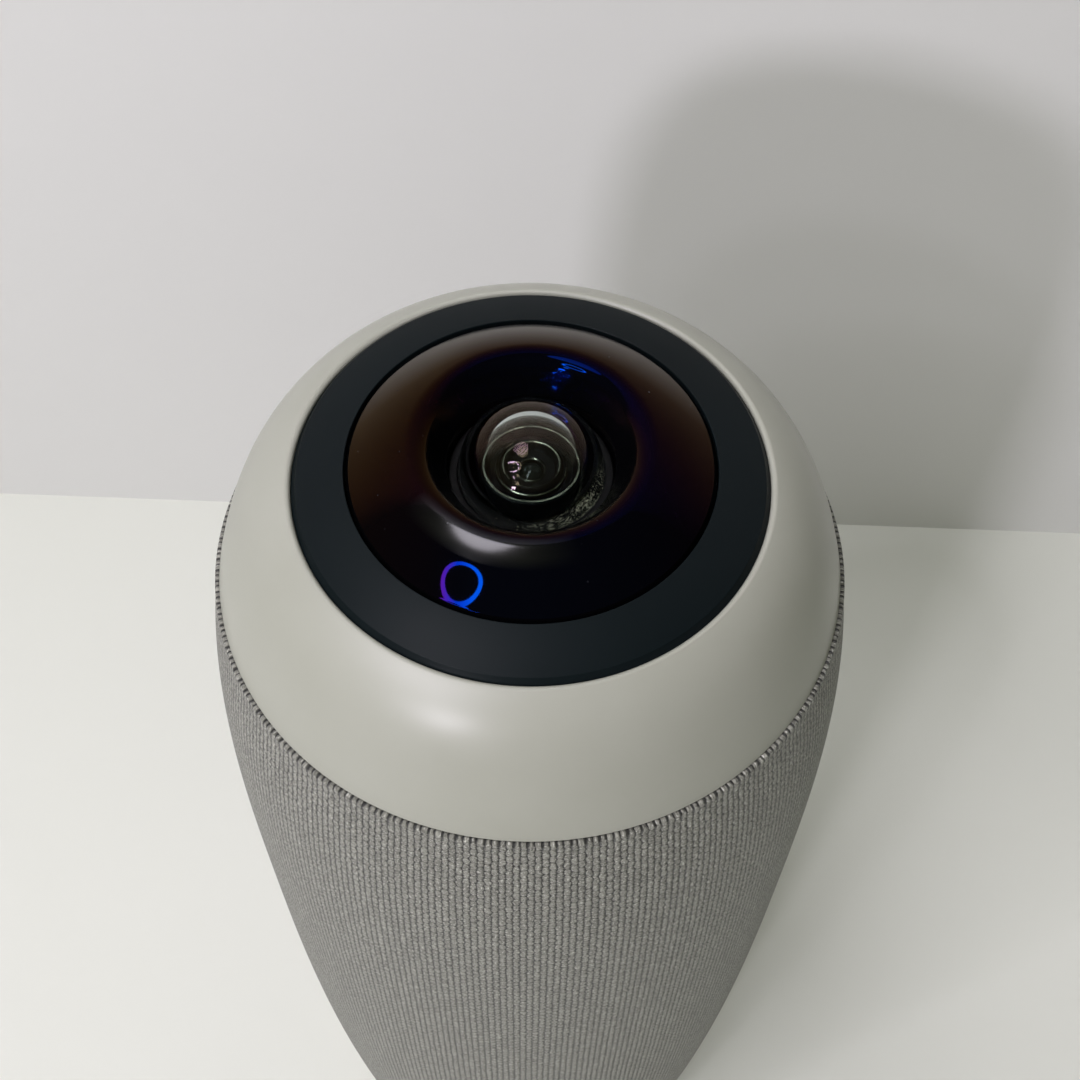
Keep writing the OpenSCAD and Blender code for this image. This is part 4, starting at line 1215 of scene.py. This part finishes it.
@dataclass
class Crown:
    """The charcoal bezel and the glossy crater inside it."""

    ring: float = 261.2
    outer: float = 36.0
    inner: float = 27.9
    rise: float = 3.14
    thickness: float = 1.4
    skirt: float = 2.0
    skirt_gap: float = 0.1
    edge: float = 0.18
    edge_radius: float = 35.3
    edge_height: float = 262.14
    edge_start: float = 30.0
    inner_edge: float = 0.15
    inner_edge_drop: float = 0.19
    back_rise: float = 0.5
    flange_in: float = 3.2
    flange_rise: float = 0.6
    flange_thickness: float = 0.9
    shroud: float = 27.2
    crest: float = 17.6
    crest_round: float = 3.0
    crest_rise: float = 8.2
    foot_slope: float = 36.0
    foot_gap: float = 0.12
    foot_drop: float = 0.9
    crest_slope: float = 20.0
    funnel_slope: float = 57.0
    wall: float = 1.5
    throat: float = 12.7
    throat_round: float = 0.6
    throat_drop: float = 0.36
    throat_turn: float = 147.0
    lens_seat: float = 260.4
    rim: float = 0.22
    rim_slope: float = 74.0
    rim_shift: Point = (-0.05, 0.04)
    rim_from: float = 0.985
    back: Place = (2.2, 5.6, 1.2)

    def bezel_outline(self) -> list[Point]:
        """Lists the bezel's section with its rounded outer edge.

        Returns:
            The section's corners.
        """
        top = self.ring + self.rise
        slope = math.degrees(
            math.atan2(top - self.edge_height, self.edge_radius - self.inner)
        )
        low = self.ring - self.skirt
        middle = (self.edge_radius - self.edge, self.edge_height - self.edge)
        inner = (self.inner + self.inner_edge, top - self.inner_edge_drop)
        behind = self.outer - self.thickness
        return (
            [(self.outer, low), (self.outer, self.ring - self.skirt_gap)]
            + arc(middle, self.edge, self.edge_start, 90 - slope, 6)
            + arc(inner, self.inner_edge, 90 - slope, 180, 5)
            + [
                (self.inner, top - self.thickness),
                (behind, self.ring - self.thickness + self.back_rise),
                (behind, low),
            ]
        )

    def crest_point(self, slope: float) -> Point:
        """Returns the crest's point whose surface has a slope, in radians."""
        top = self.ring + self.crest_rise
        return (
            self.crest + self.crest_round * math.sin(slope),
            top - self.crest_round * (1 - math.cos(slope)),
        )

    def shoulder(self, share: float) -> Point:
        """Works out a point of the crater's convex shoulder.

        Args:
            share: 0 at the crest and 1 at the foot.

        Returns:
            The point.
        """
        lean = math.radians(self.crest_slope)
        start = self.crest_point(lean)
        run = self.shroud - start[0]
        s2, s3 = share**2, share**3
        height = (
            (2 * s3 - 3 * s2 + 1) * start[1]
            + (3 * s2 - 2 * s3) * (self.ring + self.rise)
            - (s3 - 2 * s2 + share) * run * math.tan(lean)
            - (s3 - s2) * run * math.tan(math.radians(self.foot_slope))
        )
        return (start[0] + run * share, height)

    def shroud_outline(self) -> list[Point]:
        """Lists the crater's section: flange, rounded rim, shoulder, crest, funnel.

        Returns:
            The section's corners.
        """
        flange = self.ring - self.skirt + self.flange_rise
        flange_top = flange + self.flange_thickness
        flange_out = self.outer - self.flange_in
        foot = self.shoulder(1)
        foot_out = self.inner - self.foot_gap
        lean = math.radians(self.foot_slope)
        rim = (
            foot[0] - self.rim * math.sin(lean) + self.rim_shift[0],
            foot[1] - self.rim * math.cos(lean) + self.rim_shift[1],
        )
        steep = math.radians(self.funnel_slope)
        start = self.crest_point(-steep)
        throat_z = start[1] - (start[0] - self.throat) * math.tan(steep)
        slopes = between(self.crest_slope, -self.funnel_slope, 16)
        crest = [self.crest_point(math.radians(slope)) for slope in slopes]
        throat = (self.throat + self.throat_round, throat_z - self.throat_drop)
        outer_wall = self.throat + self.wall
        bottom = self.lens_seat - self.wall
        inside = self.shroud - self.wall
        at_throat, at_crest, at_foot = (self.ring + up for up in self.back)
        return (
            [(flange_out, flange), (flange_out, flange_top)]
            + [(foot_out, flange_top), (foot_out, foot[1] - self.foot_drop)]
            + arc(rim, self.rim, 90 - self.rim_slope, 90 - self.foot_slope, 7)
            + [self.shoulder(s) for s in between(self.rim_from, 0.0, 56)]
            + crest[1:]
            + arc(throat, self.throat_round, self.throat_turn, 180, 4)
            + [(self.throat, bottom), (outer_wall, bottom), (outer_wall, at_throat)]
            + [(self.crest, at_crest), (inside, at_foot), (inside, flange)]
        )

    def build(self) -> None:
        """Makes bezel and crater."""
        placed(
            "bezel",
            spun(self.bezel_outline(), 256),
            BEZEL_PLASTIC,
            replaces=("bezel_ring",),
        )
        placed(
            "crater",
            spun(self.shroud_outline(), 256),
            SHROUD_GLOSS,
            replaces=("dome_shroud",),
            crease=50.0,
        )


@dataclass
class Lens:
    """The fisheye lens: front glass, cell, retainer, stepped barrel, inner glasses and
    stop. The cell is a ridged ring inside the front glass's hollow, listed from its
    outside over its ridges to its inside. The tops of the ridges are bare metal."""

    ball: float = 262.0
    radius: float = 11.0
    seat: float = 260.4
    seat_gap: float = 0.1
    flange: float = 0.6
    glass: float = 2.6
    hollow: float = 8.2
    cement: float = 0.02
    steps: tuple[float, ...] = (8.4, 7.4, 6.5, 5.0)
    step_depth: float = 1.4
    step_bevel: float = 0.12
    mouth: float = 0.5
    ring_wall: float = 0.8
    inner_seat: float = 252.6
    bell: float = 254.0
    bore: float = 3.7
    tail: float = 246.5
    tail_radius: float = 8.0
    tail_wall: float = 0.4
    stop: float = 2.4
    stop_slant: float = 0.3
    stop_lip: float = 0.2
    stop_thickness: float = 0.6
    lens_gap: float = 0.1
    lens_edge: float = 1.8
    lens_curve: float = 14.0
    retainer_rise: float = 0.9
    retainer_round: float = 0.25
    retainer_edge: float = 0.2
    cell_low: float = 259.5
    cell: tuple[Point, ...] = (
        (7.5, 263.6),
        (7.3, 264.3),
        (7.05, 264.45),
        (6.8, 264.4),
        (6.6, 263.9),
        (6.3, 262.6),
        (5.5, 262.5),
        (5.3, 263.1),
        (5.15, 263.2),
        (4.95, 263.1),
        (4.85, 262.6),
        (4.55, 262.9),
        (4.4, 263.7),
        (4.28, 263.8),
        (4.12, 263.7),
        (4.0, 262.9),
        (3.6, 262.3),
        (2.3, 262.1),
        (2.1, 262.3),
        (1.95, 262.1),
    )
    cell_side: Span = (7.55, 1.9)
    cell_bare: tuple[Span, ...] = ((6.8, 7.06), (5.14, 5.3), (4.12, 4.29), (1.96, 2.2))
    pupil: float = 1.85
    pupil_low: float = 260.2
    pupil_edge: float = 1.4
    pupil_centre: float = 260.4
    pupil_curve: float = 2.2
    pupil_start: float = 33.0

    @property
    def outer(self) -> float:
        """The radius of retainer and barrel."""
        return self.radius + self.flange + self.ring_wall

    def front_outline(self) -> list[Point]:
        """Lists the front glass's section.

        Returns:
            The section's corners.
        """
        rim = self.radius + self.flange
        low = math.degrees(
            math.asin((self.seat + self.flange - self.ball) / self.radius)
        )
        hollow_z = self.ball + self.radius - self.glass - self.hollow
        hollow_low = math.degrees(math.asin((self.seat - hollow_z) / self.hollow))
        return (
            [(rim, self.seat), (rim, self.seat + self.flange)]
            + arc((0, self.ball), self.radius, low, 90, 48)
            + arc((0, hollow_z), self.hollow, 90, hollow_low, 40)
        )

    def cell_outline(self) -> list[Point]:
        """Lists the cell's section."""
        outside, inside = self.cell_side
        return [(outside, self.cell_low), *self.cell, (inside, self.cell_low)]

    def pupil_outline(self) -> list[Point]:
        """Lists the section of the small glass at the cell's bottom."""
        low, high = self.pupil_low, self.pupil_low + self.pupil_edge
        centre = (0, self.pupil_centre)
        return [(0, low), (self.pupil, low), (self.pupil, high)] + arc(
            centre, self.pupil_curve, self.pupil_start, 90, 12
        )

    def barrel_outline(self) -> list[Point]:
        """Lists the barrel's section, with small bevels on the edges of its steps.

        Returns:
            The section's corners.
        """
        bevel = self.step_bevel
        steps: list[Point] = []
        top = self.seat - self.seat_gap
        height = top
        for step, nearer in zip(self.steps, (self.radius + self.mouth, *self.steps)):
            steps += [
                (nearer, height),
                (step + bevel, height),
                (step, height - bevel),
            ]
            height -= self.step_depth
        tail_top = self.tail + self.tail_wall
        return (
            steps[1:]
            + [(self.steps[-1], self.inner_seat), (self.bore, self.inner_seat)]
            + [(self.bore, tail_top), (self.stop, tail_top), (self.stop, self.tail)]
            + [(self.tail_radius, self.tail), (self.tail_radius, self.bell)]
            + [(self.outer, self.bell), (self.outer, top)]
        )

    def second_outline(self) -> list[Point]:
        """Lists the section of the second glass: a flat back and a bulging front.

        Returns:
            The section's corners.
        """
        radius, curve = self.steps[-1] - self.lens_gap, self.lens_curve
        low = self.inner_seat + self.stop_thickness
        rise = curve - math.sqrt(curve**2 - radius**2)
        centre = low + self.lens_edge + rise - curve
        lean = math.degrees(math.acos(radius / curve))
        return [(0, low), (radius, low)] + arc((0, centre), curve, lean, 90, 20)

    def stop_outline(self) -> list[Point]:
        """Lists the section of the aperture ring under the second glass.

        Returns:
            The section's corners.
        """
        edge = self.steps[-1] - self.lens_gap
        low, high = self.inner_seat, self.inner_seat + self.stop_thickness
        return [
            (edge, low),
            (edge, high),
            (self.stop + self.stop_slant, high),
            (self.stop, low + self.stop_lip),
            (self.stop, low),
        ]

    def retainer_outline(self) -> list[Point]:
        """Lists the retainer ring's section, with its rounded lip.

        Returns:
            The section's corners.
        """
        bend, edge, gap = self.retainer_round, self.retainer_edge, self.seat_gap
        flange_top = self.seat + self.flange
        top = flange_top + self.retainer_rise
        inner = self.radius + gap
        flange_out = self.radius + self.flange + gap
        return [
            (self.outer, self.seat),
            *arc((self.outer - bend, top - bend), bend, 0, 90, 5),
            *arc((inner + edge, top - edge), edge, 90, 180, 4),
            (inner, flange_top + gap),
            (flange_out, flange_top + gap),
            (flange_out, self.seat),
        ]

    def build(self) -> None:
        """Makes the lens's pieces."""
        placed(
            "front_glass",
            spun(self.front_outline()),
            FRONT_GLASS,
            replaces=("lens_dome",),
            crease=60.0,
            # The flange's underside carries the cement with its painted reflection.
            underside=(CEMENT, self.seat + self.cement),
        )
        placed(
            "lens_cell",
            spun(self.cell_outline()),
            LENS_METAL,
            edges=(BARE_EDGE, self.cell_bare),
        )
        placed("rear_element", spun(self.pupil_outline(), 96), PUPIL)
        for name, outline, node in (
            ("retainer", self.retainer_outline(), "lens_retainer"),
            ("barrel", self.barrel_outline(), "lens_barrel"),
        ):
            placed(name, spun(outline), LENS_METAL, replaces=(node,))
        placed(
            "inner_lens",
            spun(self.second_outline(), 96),
            INNER_GLASS,
            replaces=("second_lens",),
            crease=60.0,
        )
        placed(
            "stop_ring",
            spun(self.stop_outline(), 96),
            LENS_METAL,
            replaces=("aperture_ring",),
        )


@dataclass
class Sleeve:
    """The knitted sleeve with its folded top edge. Its sheet is flat_height high and
    goes once round a tube of flat_radius."""

    form: BodyForm
    thickness: float = 0.9
    fold: float = 0.55
    fold_out: float = 0.35
    fold_reach: float = 4.0
    foot_gap: float = 0.3
    columns: int = 304
    rows: int = 90
    crowding: float = 1.3
    inner_every: int = 6
    flat_radius: float = 53.9
    flat_height: float = 220.0

    def outline(self) -> list[Point]:
        """Lists the sleeve's section: outside, fold, and back down the inside.

        Returns:
            The section's corners.
        """
        form = self.form
        low = form.base_height + self.foot_gap
        high = form.seam - self.fold
        heights = [
            high - (high - low) * (1 - u) ** self.crowding
            for u in between(0.0, 1.0, self.rows)
        ]
        centre = form.radius_at(high) + self.fold_out - self.fold
        outside = [
            (
                form.radius_at(z)
                + self.fold_out * max(0.0, 1 - (high - z) / self.fold_reach) ** 2,
                z,
            )
            for z in heights
        ]
        inside = [
            (form.radius_at(z) - self.thickness, z)
            for z in reversed(heights[: -1 : self.inner_every])
        ]
        inside[-1] = (form.radius_at(low) - self.thickness, low)
        return outside + arc((centre, high), self.fold, 0, 180, 10)[1:] + inside

    def unrolled(self) -> bmesh.types.BMesh:
        """Spins the sleeve and lays its knit's UV map out, from the seam down.

        Returns:
            The mesh.
        """
        mesh = spun(self.outline(), self.columns)
        layer = mesh.loops.layers.uv.new("Knit")
        form = self.form
        span = form.seam - form.base_height
        for face in mesh.faces:
            middle = face.calc_center_median()
            turn = math.atan2(middle.y, middle.x) / TURN
            for loop in face.loops:
                place = loop.vert.co
                u = math.atan2(place.y, place.x) / TURN
                u += round(turn - u)
                loop[layer].uv = (u + 0.5, (form.seam - place.z / MM) / span)
        return mesh

    def build(self) -> None:
        """Makes the sleeve."""
        piece = placed(
            "knit_sleeve",
            self.unrolled(),
            KNIT,
            replaces=("fabric_sleeve",),
            crease=180.0,
        )


class CarriedOver:
    """The CAD nodes that stay as they are, with the finish of their slots."""

    def build(self, nodes: dict[str, bpy.types.Object], record: dict) -> None:
        """Gives each node the finish of its material slot.

        Args:
            nodes: The frame's nodes.
            record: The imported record.
        """
        slots = {row["node"]: row["material_slot"] for row in record["subparts"]}
        for name, node in nodes.items():
            node.data.materials.clear()
            node.data.materials.append(SLOT_FINISH[slots[name]].material())
        LOG.info("%d CAD nodes finished", len(nodes))


@dataclass(frozen=True)
class Lamp:
    """A soft lamp: where it stands in metres, its width and its power in watts."""

    name: str
    place: Place
    size: float
    power: float
    shape: LampShape = LampShape.SQUARE
    colour: str = "#F6F1FC"
    aim: Place = (0.0, 0.0, 0.25)

    def light(self) -> bpy.types.Light:
        """Adds the lamp.

        Returns:
            The light's data.
        """
        data = bpy.data.lights.new(self.name, "AREA")
        data.shape = self.shape.value
        data.size = self.size
        data.energy = self.power
        data.color = linear(self.colour)[:3]
        lamp = bpy.data.objects.new(self.name, data)
        lamp.location = self.place
        aim = Vector(self.aim) - Vector(self.place)
        lamp.rotation_euler = aim.to_track_quat("-Z", "Y").to_euler()
        bpy.context.scene.collection.objects.link(lamp)
        return data


@dataclass
class Studio:
    """A pale table and wall, soft lamps on the left and a ring lamp, in metres. The
    wall runs through two points of its foot."""

    wall_left: Point = (-0.15, 0.1777)
    wall_right: Point = (0.155, 0.1672)
    wall_height: float = 1.1
    reach: float = 3.0
    camera_at: Place = (0.0, -0.1328, 0.4438)
    pitch: float = 56.5
    yaw: float = 0.65
    roll: float = 1.04
    lens: float = 50.0
    sensor: float = 36.0
    nearest: float = 0.01
    ring_lamp: Lamp = Lamp(
        "ring_lamp", (-0.37, -0.36, 0.89), 0.242, 9.6, LampShape.DISK
    )
    ring_inner: float = 0.8
    lamps: tuple[Lamp, ...] = (
        Lamp("front", (-0.479, -0.9, 0.672), 0.11, 5.0),
        Lamp("front_high", (-0.483, -0.73, 0.927), 0.07, 1.1),
        Lamp("ceiling", (-0.3, -0.02, 1.35), 0.42, 4.0, LampShape.DISK),
    )
    room: str = "#F7FFD6"
    room_light: Span = (0.22, 0.1)

    @staticmethod
    def panel(name: str, corners: list[Place], finish: Finish) -> None:
        """Makes one flat panel of the stage.

        Args:
            name: The panel's name.
            corners: Its corners in order.
            finish: What it is made of.
        """
        mesh = bmesh.new()
        mesh.faces.new([mesh.verts.new(c) for c in corners])
        data = bpy.data.meshes.new(name)
        mesh.to_mesh(data)
        mesh.free()
        data.materials.append(finish.material())
        piece = bpy.data.objects.new(name, data)
        bpy.context.scene.collection.objects.link(piece)

    def stage(self) -> None:
        """Makes table and wall."""
        left, right = Vector(self.wall_left), Vector(self.wall_right)
        along = (right - left).normalized()
        start, end = left - along * self.reach, right + along * self.reach
        signs = ((-1, -1), (1, -1), (1, 1), (-1, 1))
        table = [(x * self.reach, y * self.reach, 0) for x, y in signs]
        wall = [(*start, 0), (*end, 0)]
        wall += [(*end, self.wall_height), (*start, self.wall_height)]
        self.panel("table", table, TABLE_TOP)
        self.panel("wall", wall, WALL_PAINT)

    def ring_light(self) -> None:
        """Adds the ring lamp that mirrors in the crater: a disc that is dark inside."""
        data = self.ring_lamp.light()
        data.use_nodes = True
        tree = data.node_tree
        tree.nodes.clear()
        place = add_node(tree, "NewGeometry").outputs["Parametric"]
        middle = (0.5, 0.5, 0)
        off = add_node(
            tree, "VectorMath", {0: place, 1: middle}, operation="DISTANCE"
        ).outputs["Value"]
        lit = calc(tree, "GREATER_THAN", off, self.ring_inner / 2)
        glow = add_node(tree, "Emission", {"Strength": lit}).outputs["Emission"]
        add_node(tree, "OutputLight", {"Surface": glow})

    def light(self) -> None:
        """Adds the lamps and the room's light, which is brighter on the left."""
        self.ring_light()
        for lamp in self.lamps:
            lamp.light()
        world = bpy.data.worlds.new("studio")
        bpy.context.scene.world = world
        world.use_nodes = True
        tree = world.node_tree
        tree.nodes.clear()
        towards = add_node(tree, "TexCoord").outputs["Generated"]
        side = add_node(tree, "SeparateXYZ", {0: towards}).outputs["X"]
        strength = ramp(tree, side, (-1.0, 1.0), self.room_light)
        inputs = {"Color": linear(self.room), "Strength": strength}
        room = add_node(tree, "Background", inputs).outputs[0]
        add_node(tree, "OutputWorld", {"Surface": room})

    def camera(self) -> None:
        """Adds the camera that took the photograph."""
        pitch, yaw, roll = (math.radians(a) for a in (self.pitch, self.yaw, self.roll))
        ahead = Vector(
            (
                math.sin(yaw) * math.cos(pitch),
                math.cos(yaw) * math.cos(pitch),
                -math.sin(pitch),
            )
        )
        level = Vector((math.cos(yaw), -math.sin(yaw), 0))
        raised = level.cross(ahead)
        right = level * math.cos(roll) + raised * math.sin(roll)
        up = raised * math.cos(roll) - level * math.sin(roll)
        turn = Matrix((right, up, -ahead)).transposed().to_4x4()
        data = bpy.data.cameras.new("photo_camera")
        data.lens = self.lens
        data.sensor_width = self.sensor
        data.clip_start = self.nearest
        camera = bpy.data.objects.new("photo_camera", data)
        camera.matrix_world = Matrix.Translation(self.camera_at) @ turn
        bpy.context.scene.collection.objects.link(camera)
        bpy.context.scene.camera = camera

    def build(self) -> None:
        """Makes camera, stage and lights."""
        self.camera()
        self.stage()
        self.light()
        bpy.context.scene.view_settings.view_transform = "Standard"
        LOG.info("studio ready")


def main() -> None:
    """Builds the studio and every piece in order."""
    logging.basicConfig(level=logging.INFO, format="%(message)s")
    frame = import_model()
    Studio().build()
    form = BodyForm()
    CarriedOver().build(frame["nodes"], frame["record"])
    TopCap(form).build()
    Crown().build()
    Lens().build()
    Sleeve(form).build()


if __name__ == "__main__":
    main()
